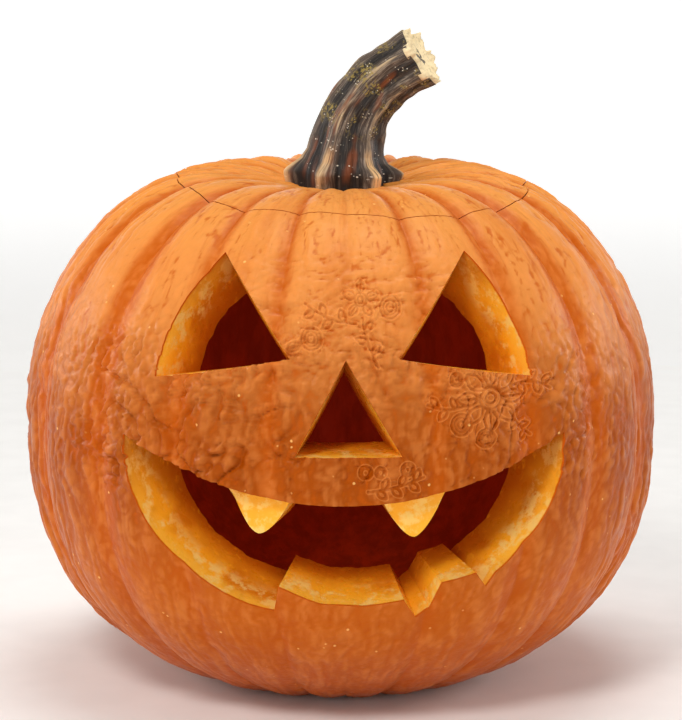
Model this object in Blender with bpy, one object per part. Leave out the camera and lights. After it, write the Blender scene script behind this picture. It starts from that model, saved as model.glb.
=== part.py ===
"""Carved pumpkin lantern: a hollow ribbed shell with a cut face, its lid and its stem.

Metres, +Z up, the face towards -Y.  The origin is on the ground, under the middle of
the fruit.  The shell and the lid are cut from one fruit; the stem stays on the lid.
"""
import math

import bmesh
import bpy
from mathutils import Vector

# The whole fruit: a rounded body of revolution with a dimple at each pole.
BODY_RADIUS = 0.141
EQUATOR_Z = 0.119
CROWN_RISE = 0.1268
CROWN_POWER = 2.13
BASE_DROP = 0.1247
BASE_POWER = 2.37
CROWN_DIMPLE = (0.0265, 0.050)      # depth, radius
CROWN_DIMPLE_FRONT = 0.066          # its radius towards the face, where the crown is lower
BASE_DIMPLE = (0.012, 0.030)

# The hollow that is scooped out of it.
WALL = 0.031
HOLLOW_RADIUS = BODY_RADIUS - WALL
HOLLOW_RISE = 0.084
HOLLOW_CROWN_POWER = 2.7
HOLLOW_DROP = 0.094
HOLLOW_BASE_POWER = 2.45

# Valleys between the ribs, as azimuths in degrees from the front, + towards +X.
FACE_VALLEYS = (-68, -46.5, -29, -13.5, 1.5, 18, 34, 50, 68)
BACK_RIBS = 13
VALLEY_AT_EQUATOR = 0.0020
VALLEY_AT_CROWN = 0.0042
VALLEY_AT_BASE = 0.0030
POLE_FADE_RADIUS = 0.030

# Mesh density.
STEPS_PER_RIB = 4
BODY_ROWS = 26
HOLLOW_STEPS = 40
HOLLOW_ROWS = 16
ROW_EVENNESS = 0.6                  # 1 for equal angles, less for more rows at the poles
CUT_STEP = 0.009
LIP_STEPS = 22
FANG_STEPS = 8
LOWER_LIP_STEPS = (9, 7)            # left and right of the teeth
SHARP_ANGLE = math.radians(40)

# The carved face, as (x, z) on the front of the fruit.  Each cut narrows inwards, and
# its sides aim at one point inside the fruit.
FACE_X = 0.0015
EYE_APEX = (0.0500, 0.204)
EYE_OUTER = (0.0780, 0.153)
EYE_INNER = (0.022, 0.163)
EYE_BOW = 0.005
EYE_AIM = (0.0275, -0.045, 0.149)
NOSE_MIDDLE_X = 0.003
NOSE_HALF_WIDTH = 0.022
NOSE_BASE_Z = 0.124
NOSE_HEIGHT = 0.039
NOSE_LEAN = 0.001                   # how far its top lies to the left of its middle
NOSE_AIM = (-0.001, -0.030, 0.127)
MOUTH_AIM = (0.003, -0.008, 0.097)
MOUTH_HALF_WIDTH = 0.0913
MOUTH_CORNER_Z = 0.1285
UPPER_LIP_DIP = 0.0244
LOWER_LIP_CENTRE_Z = 0.122
LOWER_LIP_DROP = 0.0695
# The teeth left on the lower lip: the ends of each and, from left to right, how far its
# top stands over the lip.  In the notch between them the knife went below the lip.
WIDE_TOOTH = (-0.026, 0.026)
WIDE_TOOTH_RISES = (0.012, 0.008, 0.007, 0.007)
NOTCH = (0.031, 0.037)
NOTCH_RISES = (-0.003, -0.001)
NARROW_TOOTH = (0.042, 0.056)
NARROW_TOOTH_RISES = (0.009, 0.006)
TEETH_LEFT_ROOT = -0.028
TEETH_RIGHT_ROOT = 0.060
RIGHT_ROOT_DROP = 0.003             # how far it lies below the lower lip
LIP_TURN_BESIDE_TEETH = (0.04, 0.06)    # left free at each root, in radians
FANGS = ((-0.0498, -0.0217), (0.0180, 0.0450))       # left and right root of each
FANG_LENGTH = 0.0178
FANG_POWER = 1.6
FANG_RECESS = 0.006
FANG_CLEARANCE = 0.002              # kept free of the lip's own points
CUT_OUTER_Y = -0.165
EYE_CUT_INNER_Y = -0.058
CUT_INNER_Y = -0.050

# The lid, cut by a knife that leans inwards, so that the lid can't drop through.
LID_CENTRE_X = 0.0045
LID_HALF_WIDTH = 0.0795
LID_HALF_DEPTH = 0.0895
LID_SQUARENESS = 2.25
LID_AIM_Z = 0.125
LID_GAP = 0.0004
LID_CUT_LOW_Z = 0.172
LID_CUT_HIGH_Z = 0.300
LID_STEPS = 72

# The stem: its centre line, and for each place along it the radius over the ridges
# and in the grooves.
STEM_ROUTE = (
    (0.0012, 0.0, 0.2120), (0.0018, 0.0, 0.2330), (0.0050, -0.0005, 0.2495),
    (0.0128, -0.0020, 0.2620), (0.0225, -0.0045, 0.2712), (0.0346, -0.0080, 0.2786),
)
STEM_SECTIONS = (
    (0.00, 0.0272, 0.0205), (0.10, 0.0272, 0.0195), (0.14, 0.0240, 0.0180),
    (0.19, 0.0204, 0.0162), (0.26, 0.0176, 0.0145), (0.42, 0.0152, 0.0127),
    (0.60, 0.0138, 0.0116), (0.80, 0.0132, 0.0109), (1.00, 0.0134, 0.0109),
)
STEM_RIDGES = 6
STEM_RIDGE_TURN = math.radians(35)
STEM_RINGS = 16
STEM_STEPS = 36
STEM_TANGENT_STEP = 0.01            # as a share of the centre line
STEM_SEAT_GAP = 0.0003

RIND_COLOUR = (0.62, 0.21, 0.045)
RIND_ROUGHNESS = 0.42
STALK_COLOUR = (0.075, 0.055, 0.035)
STALK_ROUGHNESS = 0.65


def clear_scene():
    for scene_object in list(bpy.data.objects):
        bpy.data.objects.remove(scene_object, do_unlink=True)


def make_material(name, colour, roughness):
    material = bpy.data.materials.new(name)
    material.use_nodes = True
    shader = material.node_tree.nodes["Principled BSDF"]
    shader.inputs["Base Color"].default_value = (*colour, 1.0)
    shader.inputs["Roughness"].default_value = roughness
    shader.inputs["Metallic"].default_value = 0.0
    return material


def make_object(name, mesh_data, material=None, cutter=False):
    mesh = bpy.data.meshes.new(name)
    mesh_data.to_mesh(mesh)
    mesh_data.free()
    new_object = bpy.data.objects.new(name, mesh)
    bpy.context.scene.collection.objects.link(new_object)
    if material:
        mesh.materials.append(material)
    if cutter:
        new_object.hide_render = True
        new_object.display_type = "WIRE"
    else:
        mesh.shade_smooth()
        mesh.set_sharp_from_angle(angle=SHARP_ANGLE)
    return new_object


def add_boolean(target, cutter, operation="DIFFERENCE"):
    modifier = target.modifiers.new(cutter.name, "BOOLEAN")
    modifier.operation = operation
    modifier.object = cutter
    modifier.solver = "EXACT"


def valley_azimuths():
    """All the valleys round the fruit, in radians, in rising order."""
    first, last = FACE_VALLEYS[0], FACE_VALLEYS[-1]
    back_span = 360.0 - (last - first)
    back = [last + back_span * (i + 1) / BACK_RIBS for i in range(BACK_RIBS - 1)]
    return [math.radians(a) for a in (*FACE_VALLEYS, *back)]


def oval_radius(angle, radius, rise, power):
    """Distance from the centre to a superellipse, in a direction angle above level."""
    level = (abs(math.cos(angle)) / radius) ** power
    upright = (abs(math.sin(angle)) / rise) ** power
    return (level + upright) ** (-1.0 / power)


def body_point(azimuth, angle, valley, swell=0.0):
    """A point of the fruit's skin.  valley runs from 0 on a rib to 1 between ribs."""
    upper = angle >= 0.0
    rise, power = (CROWN_RISE, CROWN_POWER) if upper else (BASE_DROP, BASE_POWER)
    reach = oval_radius(angle, BODY_RADIUS, rise, power)
    radius = reach * math.cos(angle)
    height = reach * math.sin(angle)
    depth, width = CROWN_DIMPLE if upper else BASE_DIMPLE
    if upper:
        frontness = (0.5 + 0.5 * math.cos(azimuth)) ** 2
        width += (CROWN_DIMPLE_FRONT - width) * frontness
    dimple = depth * math.exp(-(radius / width) ** 2)
    height += -dimple if upper else dimple
    valley_at_pole = VALLEY_AT_CROWN if upper else VALLEY_AT_BASE
    groove = VALLEY_AT_EQUATOR + (valley_at_pole - VALLEY_AT_EQUATOR) * math.sin(angle) ** 2
    groove *= min(1.0, radius / POLE_FADE_RADIUS) * valley
    inset = swell - groove
    radius += inset * math.cos(angle)
    height += inset * math.sin(angle)
    radius = max(radius, 0.0)
    return (radius * math.sin(azimuth), -radius * math.cos(azimuth), EQUATOR_Z + height)


def grid_solid(rings, low_pole, high_pole):
    """A closed solid from rings of points, low to high, each running the same way round."""
    mesh_data = bmesh.new()
    loops = [[mesh_data.verts.new(point) for point in ring] for ring in rings]
    count = len(loops[0])
    for lower, upper in zip(loops, loops[1:]):
        for i in range(count):
            j = (i + 1) % count
            mesh_data.faces.new((lower[i], lower[j], upper[j], upper[i]))
    for loop, pole in ((loops[0], low_pole), (loops[-1], high_pole)):
        tip = mesh_data.verts.new(pole)
        for i in range(count):
            mesh_data.faces.new((loop[i], loop[(i + 1) % count], tip))
    bmesh.ops.recalc_face_normals(mesh_data, faces=mesh_data.faces)
    return mesh_data


def row_angles(rows):
    """Angles above level, closer together towards the poles."""
    spread = [2.0 * (i + 1) / (rows + 1) - 1.0 for i in range(rows)]
    quarter = math.pi / 2
    crowding = 1.0 - ROW_EVENNESS
    return [quarter * (ROW_EVENNESS * s + crowding * math.sin(quarter * s)) for s in spread]


def fruit_solid(swell=0.0):
    """The uncut fruit.  swell grows it evenly, to cut what sits on it."""
    valleys = valley_azimuths()
    columns = []
    for i, start in enumerate(valleys):
        end = valleys[(i + 1) % len(valleys)]
        if end < start:
            end += 2.0 * math.pi
        for k in range(STEPS_PER_RIB):
            share = k / STEPS_PER_RIB
            columns.append((start + (end - start) * share, abs(2.0 * share - 1.0) ** 2))
    rings = [[body_point(azimuth, angle, valley, swell) for azimuth, valley in columns]
             for angle in row_angles(BODY_ROWS)]
    low_pole = body_point(0.0, -math.pi / 2, 0.0, swell)
    high_pole = body_point(0.0, math.pi / 2, 0.0, swell)
    return grid_solid(rings, low_pole, high_pole)


def hollow_solid():
    """The scooped space inside the fruit."""
    rings = []
    for angle in row_angles(HOLLOW_ROWS):
        if angle >= 0.0:
            reach = oval_radius(angle, HOLLOW_RADIUS, HOLLOW_RISE, HOLLOW_CROWN_POWER)
        else:
            reach = oval_radius(angle, HOLLOW_RADIUS, HOLLOW_DROP, HOLLOW_BASE_POWER)
        radius = reach * math.cos(angle)
        height = EQUATOR_Z + reach * math.sin(angle)
        turns = [2.0 * math.pi * i / HOLLOW_STEPS for i in range(HOLLOW_STEPS)]
        rings.append([(radius * math.sin(a), -radius * math.cos(a), height) for a in turns])
    return grid_solid(rings, (0.0, 0.0, EQUATOR_Z - HOLLOW_DROP),
                      (0.0, 0.0, EQUATOR_Z + HOLLOW_RISE))


def skin_point(x, z):
    """The point on the front of the fruit at x and z, ribs left out."""
    height = z - EQUATOR_Z
    rise, power = (CROWN_RISE, CROWN_POWER) if height >= 0.0 else (BASE_DROP, BASE_POWER)
    radius = BODY_RADIUS * (1.0 - (abs(height) / rise) ** power) ** (1.0 / power)
    return Vector((x, -math.sqrt(radius ** 2 - x ** 2), z))


def straight(start, end, step=CUT_STEP):
    """Points from start up to, but not at, end."""
    length = math.dist(start, end)
    count = max(1, round(length / step))
    return [tuple(s + (e - s) * i / count for s, e in zip(start, end)) for i in range(count)]


def bowed(start, end, bow):
    """As straight, but bulging by bow to the left of the way from start to end."""
    length = math.dist(start, end)
    side = (-(end[1] - start[1]) / length, (end[0] - start[0]) / length)
    points = straight(start, end)
    shares = [i / len(points) for i in range(len(points))]
    return [(x + side[0] * bow * 4 * t * (1 - t), z + side[1] * bow * 4 * t * (1 - t))
            for (x, z), t in zip(points, shares)]


def toward(point, aim, y):
    """Where the line through point and aim meets the upright plane at y."""
    share = (y - aim.y) / (point.y - aim.y)
    return aim + (point - aim) * share


def knife_solid(outline, aim, inner_y, front_outline=None, recess=0.0):
    """A cutter whose sides aim at one point.

    front_outline, point for point beside outline, is the wider shape that is cut from
    the skin down to the recess; behind it the cut follows outline.
    """
    aim = Vector(aim)
    front_outline = front_outline or outline
    mesh_data = bmesh.new()
    back, middle, step, front = [], [], [], []
    for point, wide in zip(outline, front_outline):
        skin, wide_skin = skin_point(*point), skin_point(*wide)
        sunk = skin + (aim - skin).normalized() * recess
        back.append(mesh_data.verts.new(toward(skin, aim, inner_y)))
        middle.append(mesh_data.verts.new(sunk))
        if point == wide:
            step.append(middle[-1])
        else:
            wide_sunk = wide_skin + (aim - wide_skin).normalized() * recess
            step.append(mesh_data.verts.new(wide_sunk))
        front.append(mesh_data.verts.new(toward(wide_skin, aim, CUT_OUTER_Y)))
    count = len(outline)
    for i in range(count):
        j = (i + 1) % count
        mesh_data.faces.new((back[i], back[j], middle[j], middle[i]))
        mesh_data.faces.new((step[i], step[j], front[j], front[i]))
        ledge = list(dict.fromkeys((middle[i], middle[j], step[j], step[i])))
        if len(ledge) > 2:
            mesh_data.faces.new(ledge)
    mesh_data.faces.new(back)
    mesh_data.faces.new(front)
    bmesh.ops.recalc_face_normals(mesh_data, faces=mesh_data.faces)
    return mesh_data


def eye_outline(side):
    """side is 1 for the eye at +X, -1 for the other."""
    edges = (*bowed(EYE_OUTER, EYE_APEX, -EYE_BOW), *straight(EYE_APEX, EYE_INNER),
             *straight(EYE_INNER, EYE_OUTER))
    return [(FACE_X + side * x, z) for x, z in edges]


def nose_outline():
    apex = (NOSE_MIDDLE_X - NOSE_LEAN, NOSE_BASE_Z + NOSE_HEIGHT)
    left = (NOSE_MIDDLE_X - NOSE_HALF_WIDTH, NOSE_BASE_Z)
    right = (NOSE_MIDDLE_X + NOSE_HALF_WIDTH, NOSE_BASE_Z)
    return [*straight(apex, left), *straight(left, right), *straight(right, apex)]


def upper_lip_z(x):
    """Height of the upper lip, an arc that hangs between the corners of the mouth."""
    radius = (MOUTH_HALF_WIDTH ** 2 + UPPER_LIP_DIP ** 2) / (2.0 * UPPER_LIP_DIP)
    offset = x - FACE_X
    return MOUTH_CORNER_Z - UPPER_LIP_DIP + radius - math.sqrt(radius ** 2 - offset ** 2)


def lower_lip_z(x):
    share = min(1.0, abs(x - FACE_X) / MOUTH_HALF_WIDTH)
    return LOWER_LIP_CENTRE_Z - LOWER_LIP_DROP * math.sqrt(1.0 - share ** 2)


def lower_lip(start_turn, end_turn, steps):
    """Points on the lower lip's ellipse, by turn from its left end, in radians."""
    turns = [start_turn + (end_turn - start_turn) * i / steps for i in range(steps + 1)]
    return [(FACE_X - MOUTH_HALF_WIDTH * math.cos(t),
             LOWER_LIP_CENTRE_Z - LOWER_LIP_DROP * math.sin(t)) for t in turns]


def lip_turn(x):
    return math.acos((FACE_X - x) / MOUTH_HALF_WIDTH)


def beside_fangs(x):
    """Whether x lies clear of both fangs."""
    return all(not left - FANG_CLEARANCE < x < right + FANG_CLEARANCE for left, right in FANGS)


def tooth_edge(ends, rises):
    """The top edge of a tooth or a notch, as points over the lower lip."""
    left, right = ends
    places = [left + (right - left) * i / (len(rises) - 1) for i in range(len(rises))]
    return [(x, lower_lip_z(x) + rise) for x, rise in zip(places, rises)]


def mouth_outlines():
    """The outline with the fangs left standing, and the one that ignores them."""
    corner_x = FACE_X + MOUTH_HALF_WIDTH
    spread = [corner_x - 2.0 * MOUTH_HALF_WIDTH * i / LIP_STEPS for i in range(LIP_STEPS)]
    places = {x for x in spread if beside_fangs(x)}
    for left, right in FANGS:
        places |= {left + (right - left) * i / FANG_STEPS for i in range(1, FANG_STEPS)}
        places |= {left, right}
    lip = [(x, upper_lip_z(x)) for x in sorted(places, reverse=True)]
    with_fangs = [(x, z - fang_drop(x)) for x, z in lip]

    left_root = (TEETH_LEFT_ROOT, lower_lip_z(TEETH_LEFT_ROOT))
    right_root = (TEETH_RIGHT_ROOT, lower_lip_z(TEETH_RIGHT_ROOT) - RIGHT_ROOT_DROP)
    edge = [left_root, *tooth_edge(WIDE_TOOTH, WIDE_TOOTH_RISES), *tooth_edge(NOTCH, NOTCH_RISES),
            *tooth_edge(NARROW_TOOTH, NARROW_TOOTH_RISES), right_root]
    teeth = [point for a, b in zip(edge, edge[1:]) for point in straight(a, b)]
    left_free, right_free = LIP_TURN_BESIDE_TEETH
    left_steps, right_steps = LOWER_LIP_STEPS
    below = [(FACE_X - MOUTH_HALF_WIDTH, MOUTH_CORNER_Z),
             *lower_lip(0.0, lip_turn(TEETH_LEFT_ROOT) - left_free, left_steps),
             *teeth, right_root,
             *lower_lip(lip_turn(TEETH_RIGHT_ROOT) + right_free, math.pi, right_steps)]
    return with_fangs + below, lip + below


def fang_drop(x):
    """How far the fang at x hangs below the lip, 0 beside the fangs."""
    for left, right in FANGS:
        if left < x < right:
            share = abs(2.0 * (x - left) / (right - left) - 1.0)
            return FANG_LENGTH * (1.0 - share ** FANG_POWER)
    return 0.0


def lid_radius(azimuth):
    """Radius of the cut round the lid, a squarish oval."""
    across = (abs(math.sin(azimuth)) / LID_HALF_WIDTH) ** LID_SQUARENESS
    deep = (abs(math.cos(azimuth)) / LID_HALF_DEPTH) ** LID_SQUARENESS
    return (across + deep) ** (-1.0 / LID_SQUARENESS)


def lid_knife_solid(widen):
    """The cone that the lid is cut out with, widen wider all round."""
    aim = Vector((LID_CENTRE_X, 0.0, LID_AIM_Z))
    rings = [[], []]
    for i in range(LID_STEPS):
        azimuth = 2.0 * math.pi * i / LID_STEPS
        radius = lid_radius(azimuth)
        offset = Vector((radius * math.sin(azimuth), -radius * math.cos(azimuth), 0.0))
        reach = math.hypot(offset.x + LID_CENTRE_X, offset.y) / BODY_RADIUS
        rise = CROWN_RISE * (1.0 - reach ** CROWN_POWER) ** (1.0 / CROWN_POWER)
        run = offset + Vector((0.0, 0.0, EQUATOR_Z + rise - LID_AIM_Z))
        outward = offset.normalized() * widen
        for ring, height in zip(rings, (LID_CUT_LOW_Z, LID_CUT_HIGH_Z)):
            ring.append(aim + run * ((height - LID_AIM_Z) / run.z) + outward)
    return grid_solid(rings, (LID_CENTRE_X, 0.0, LID_CUT_LOW_Z),
                      (LID_CENTRE_X, 0.0, LID_CUT_HIGH_Z))


def ground_solid():
    """What lies below the ground, to flatten the ribs that the fruit stands on."""
    mesh_data = bmesh.new()
    size = 2.0 * BODY_RADIUS
    bmesh.ops.create_cube(mesh_data, size=size)
    bmesh.ops.translate(mesh_data, verts=mesh_data.verts, vec=(0.0, 0.0, -size / 2))
    return mesh_data


def route_point(route, share):
    """A point on the smooth (Catmull-Rom) curve through the route's points."""
    points = [Vector(p) for p in route]
    points = [2 * points[0] - points[1], *points, 2 * points[-1] - points[-2]]
    place = share * (len(route) - 1)
    i = min(int(place), len(route) - 2)
    t = place - i
    a, b, c, d = points[i:i + 4]
    return 0.5 * (2 * b + (c - a) * t + (2 * a - 5 * b + 4 * c - d) * t ** 2
                  + (3 * b - a - 3 * c + d) * t ** 3)


def section_radii(share):
    """Radius over the ridges and in the grooves at a place along the stem."""
    for (s0, ridge0, groove0), (s1, ridge1, groove1) in zip(STEM_SECTIONS, STEM_SECTIONS[1:]):
        if share <= s1:
            t = (share - s0) / (s1 - s0)
            return ridge0 + (ridge1 - ridge0) * t, groove0 + (groove1 - groove0) * t
    return STEM_SECTIONS[-1][1:]


def stem_solid():
    """A ridged stalk that bends over towards +X, its foot flared into claws."""
    rings = []
    for i in range(STEM_RINGS):
        share = i / (STEM_RINGS - 1)
        centre = route_point(STEM_ROUTE, share)
        ahead = route_point(STEM_ROUTE, min(1.0, share + STEM_TANGENT_STEP))
        behind = route_point(STEM_ROUTE, max(0.0, share - STEM_TANGENT_STEP))
        along = (ahead - behind).normalized()
        across = Vector((0.0, 1.0, 0.0)).cross(along).normalized()
        deep = along.cross(across)
        ridge, groove = section_radii(share)
        ring = []
        for k in range(STEM_STEPS):
            turn = 2.0 * math.pi * k / STEM_STEPS
            wave = 0.5 + 0.5 * math.cos(STEM_RIDGES * (turn - STEM_RIDGE_TURN))
            radius = groove + (ridge - groove) * wave
            ring.append(centre + (across * math.sin(turn) - deep * math.cos(turn)) * radius)
        rings.append(ring)
    return grid_solid(rings, route_point(STEM_ROUTE, 0.0), route_point(STEM_ROUTE, 1.0))


def build():
    clear_scene()
    rind = make_material("rind", RIND_COLOUR, RIND_ROUGHNESS)
    stalk = make_material("stalk", STALK_COLOUR, STALK_ROUGHNESS)

    hollow = make_object("cutter_hollow", hollow_solid(), cutter=True)
    ground = make_object("cutter_ground", ground_solid(), cutter=True)
    nose = make_object("cutter_nose", knife_solid(nose_outline(), NOSE_AIM, CUT_INNER_Y),
                       cutter=True)
    eyes = []
    for side, name in ((-1, "cutter_left_eye"), (1, "cutter_right_eye")):
        aim = (FACE_X + side * EYE_AIM[0], EYE_AIM[1], EYE_AIM[2])
        eye = knife_solid(eye_outline(side), aim, EYE_CUT_INNER_Y)
        eyes.append(make_object(name, eye, cutter=True))
    with_fangs, lip_only = mouth_outlines()
    mouth = make_object("cutter_mouth", knife_solid(
        with_fangs, MOUTH_AIM, CUT_INNER_Y, lip_only, FANG_RECESS), cutter=True)
    lid_hole = make_object("cutter_lid_hole", lid_knife_solid(LID_GAP / 2), cutter=True)
    lid_shape = make_object("cutter_lid", lid_knife_solid(-LID_GAP / 2), cutter=True)
    seat = make_object("cutter_stem_seat", fruit_solid(STEM_SEAT_GAP), cutter=True)

    shell = make_object("shell", fruit_solid(), rind)
    for cutter in (lid_hole, hollow, ground, *eyes, nose, mouth):
        add_boolean(shell, cutter)
    lid = make_object("lid", fruit_solid(), rind)
    add_boolean(lid, lid_shape, "INTERSECT")
    add_boolean(lid, hollow)
    stem = make_object("stem", stem_solid(), stalk)
    add_boolean(stem, seat)


build()
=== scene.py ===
"""Carved pumpkin lantern: its rind, cut flesh, scooped inside, lid and stalk.

Laid out as a Blender add-on and run as a script.  Metres, +Z up, the face towards -Y,
the origin on the ground under the middle of the fruit.
"""

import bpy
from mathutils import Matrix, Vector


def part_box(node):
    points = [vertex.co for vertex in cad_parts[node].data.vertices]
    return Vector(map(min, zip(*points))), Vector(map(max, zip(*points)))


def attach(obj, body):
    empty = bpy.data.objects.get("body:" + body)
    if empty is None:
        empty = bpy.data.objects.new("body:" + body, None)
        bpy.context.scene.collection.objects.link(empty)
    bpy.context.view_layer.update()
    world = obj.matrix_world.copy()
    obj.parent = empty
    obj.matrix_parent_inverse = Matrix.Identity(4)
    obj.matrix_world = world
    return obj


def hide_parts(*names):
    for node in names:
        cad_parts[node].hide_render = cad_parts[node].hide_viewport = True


bl_info = {
    "name": "Carved Pumpkin Lantern",
    "version": (1, 0, 0),
    "blender": (4, 5, 0),
    "location": "3D View > Sidebar > Lantern",
    "description": "Makes the rind, flesh, lid and stalk of a carved pumpkin lantern",
    "category": "Object",
}

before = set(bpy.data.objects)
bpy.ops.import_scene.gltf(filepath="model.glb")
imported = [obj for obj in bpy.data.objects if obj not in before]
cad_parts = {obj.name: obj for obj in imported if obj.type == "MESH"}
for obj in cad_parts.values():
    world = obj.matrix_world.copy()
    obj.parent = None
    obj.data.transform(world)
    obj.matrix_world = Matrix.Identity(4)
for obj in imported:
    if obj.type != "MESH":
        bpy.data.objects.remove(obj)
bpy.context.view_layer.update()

import itertools
import math

import bmesh
import bpy
import numpy as np
from bpy.props import FloatProperty, FloatVectorProperty, PointerProperty
from mathutils import Vector

SHELL_LOW, SHELL_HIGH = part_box("shell")
LID_LOW, LID_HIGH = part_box("lid")
STEM_LOW, STEM_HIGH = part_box("stem")
BODY = "root"

# The fruit: a rounded body with a dimple at each pole.  Its width is the frame's own.
BODY_RADIUS = round((SHELL_HIGH.x - SHELL_LOW.x) / 2, 3)
EQUATOR_Z = 0.119
CROWN_RISE = 0.1268
CROWN_POWER = 2.13
BASE_DROP = 0.1247
BASE_POWER = 2.37
CROWN_DIMPLE = (0.0265, 0.050)      # depth, radius
CROWN_DIMPLE_FRONT = 0.066          # its radius towards the face, where the crown is lower
BASE_DIMPLE = (0.012, 0.030)
HOLLOW_RISE = 0.084
HOLLOW_CROWN_POWER = 2.7
HOLLOW_DROP = 0.094
HOLLOW_BASE_POWER = 2.45
HOLLOW_STRANDS = 0.0008             # how high the spoon's marks stand, in three kinds
HOLLOW_SCRAPES = 0.0016
HOLLOW_CRUMBS = 0.0003

# Valleys between the ribs: azimuth in degrees from the front, + towards +X, strength.
FACE_VALLEYS = (
    (-68, 1.3), (-46.5, 1.25), (-29, 0.8), (-12, 0.75), (1.5, 0.35), (16, 0.75),
    (34, 1.0), (50, 1.35), (68, 1.3),
)
BACK_RIBS = 13
BACK_STRENGTHS = (1.2, 0.9, 1.3, 1.0)
VALLEY_AT_EQUATOR = 0.0020
VALLEY_AT_CROWN = 0.0042
VALLEY_AT_BASE = 0.0030
VALLEY_POWER = 2.4
POLE_FADE_RADIUS = 0.030

# Mesh density.
FACE_TURN = math.radians(100)        # the fine columns reach this far to each side
FACE_COLUMNS = 500
BACK_COLUMNS = 240
BODY_ROWS = 400
HOLLOW_COLUMNS = 300
HOLLOW_ROWS = 130
CUT_STEP = 0.0012
CUT_ROWS = 34
PROFILE_SAMPLES = 4000
DRAWING_CUTS = 2                    # how often the skin's faces are split at a drawing
DRAWING_MARGIN = 0.0016
SHARP_ANGLE = math.radians(38)

# The carved face, as (x, z) on the front of the fruit.  Each cut narrows inwards, and
# its sides aim at one point inside the fruit.
FACE_X = 0.0015
EYE_APEX = (0.0500, 0.204)
EYE_OUTER = (0.0780, 0.153)
EYE_INNER = (0.022, 0.163)
EYE_BOW = 0.005
EYE_AIM = (0.0275, -0.045, 0.149)
NOSE_MIDDLE_X = 0.003
NOSE_HALF_WIDTH = 0.022
NOSE_BASE_Z = 0.124
NOSE_HEIGHT = 0.039
NOSE_LEAN = 0.001                   # how far its top lies to the left of its middle
NOSE_AIM = (-0.001, -0.030, 0.127)
MOUTH_AIM = (0.003, -0.008, 0.097)
MOUTH_HALF_WIDTH = 0.0913
MOUTH_CORNER_Z = 0.1285
UPPER_LIP_DIP = 0.0244
UPPER_LIP_MIDDLE_Z = MOUTH_CORNER_Z - UPPER_LIP_DIP
LOWER_LIP_CENTRE_Z = 0.122
LOWER_LIP_DROP = 0.0695
# The teeth left on the lower lip: the ends of each and, from left to right, how far its
# top stands over the lip.  In the notch between them the knife went below the lip.
WIDE_TOOTH = (-0.026, 0.026)
WIDE_TOOTH_RISES = (0.012, 0.008, 0.007, 0.007)
NOTCH = (0.031, 0.037)
NOTCH_RISES = (-0.003, -0.001)
NARROW_TOOTH = (0.042, 0.056)
NARROW_TOOTH_RISES = (0.009, 0.006)
TEETH_LEFT_ROOT = -0.028
TEETH_RIGHT_ROOT = 0.060
RIGHT_ROOT_DROP = 0.003
LIP_TURN_BESIDE_TEETH = (0.04, 0.06)
FANGS = ((-0.0498, -0.0217), (0.0180, 0.0450))
FANG_LENGTH = 0.0178
FANG_POWER = 1.6
FANG_RECESS = 0.006
FANG_ROWS = 16
FANG_BEVELS = ((0.0042, -0.25, -1.0), (0.0010, 0.72, 1.0))   # drop, from, to, across it
FANG_BEVEL_FADE = 0.3               # the bevels are full where a fang hangs this share down
CUT_OUTER_Y = -0.165
EYE_CUT_INNER_Y = -0.058
CUT_INNER_Y = -0.050

# The lid's cut, a cone that leans inwards.
LID_CENTRE_X = 0.0045
LID_HALF_WIDTH = 0.0795
LID_HALF_DEPTH = 0.0895
LID_SQUARENESS = 2.25
LID_AIM_Z = 0.125
LID_GAP = 0.0006
LID_WANDER = 0.0013
LID_STROKES = 34
LID_RAGGEDNESS = 0.15               # fine wander, as a share of the strokes' own
LID_RAG_SCALE = 24.0
LID_CUT_LOW_Z = 0.172
LID_CUT_HIGH_Z = 0.300
LID_STEPS = 420

# The stalk's centre line, and for each place along it the radius over the ridges and in
# the grooves, and how narrow the ridges are.
STEM_ROUTE = (
    (0.0012, 0.0, 0.2120), (0.0018, 0.0, 0.2330), (0.0050, -0.0005, 0.2495),
    (0.0128, -0.0020, 0.2620), (0.0225, -0.0045, 0.2712), (0.0346, -0.0080, 0.2786),
)
STEM_SECTIONS = (
    (0.00, 0.0250, 0.0180, 2.4), (0.10, 0.0258, 0.0176, 2.4), (0.125, 0.0266, 0.0176, 2.4),
    (0.14, 0.0268, 0.0176, 2.4), (0.152, 0.0258, 0.0174, 2.3), (0.168, 0.0234, 0.0171, 2.2),
    (0.19, 0.0200, 0.0160, 1.8), (0.23, 0.0178, 0.0146, 1.3), (0.30, 0.0165, 0.0135, 1.0),
    (0.42, 0.0153, 0.0124, 0.9), (0.60, 0.0139, 0.0112, 0.8), (0.80, 0.0133, 0.0104, 0.8),
    (1.00, 0.0138, 0.0104, 0.8),
)
STEM_RIDGES = 6
STEM_RIDGE_TURN = math.radians(35)
STEM_TANGENT_STEP = 0.01
STEM_RINGS = 200
STEM_STEPS = 190
STEM_END_RINGS = 14

# The floor, and the wall that it curves up into, out of the way of every view.
FLOOR_RADIUS = 3.5
FLOOR_BEND = 2.5
FLOOR_BEND_STEPS = 14
FLOOR_STEPS = 96

# Camera: how far off, how high above level, and how much higher than the fruit's middle
# it aims, which leaves room for the stalk.
CAMERA_DISTANCE = 1.3
CAMERA_RISE = math.radians(10)
CAMERA_LENS = 143.6
CAMERA_SENSOR = 36.0
CAMERA_TILT = math.radians(1.0)


def display(red, green, blue):
    """A linear colour from the 0 to 255 values that a paint program shows."""
    def linear(value):
        share = value / 255.0
        return share / 12.92 if share <= 0.04045 else ((share + 0.055) / 1.055) ** 2.4
    return tuple(linear(v) for v in (red, green, blue))


def colour_property(name, description, default):
    return FloatVectorProperty(name=name, description=description, subtype="COLOR",
                               size=3, min=0.0, max=1.0, default=default)


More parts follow.
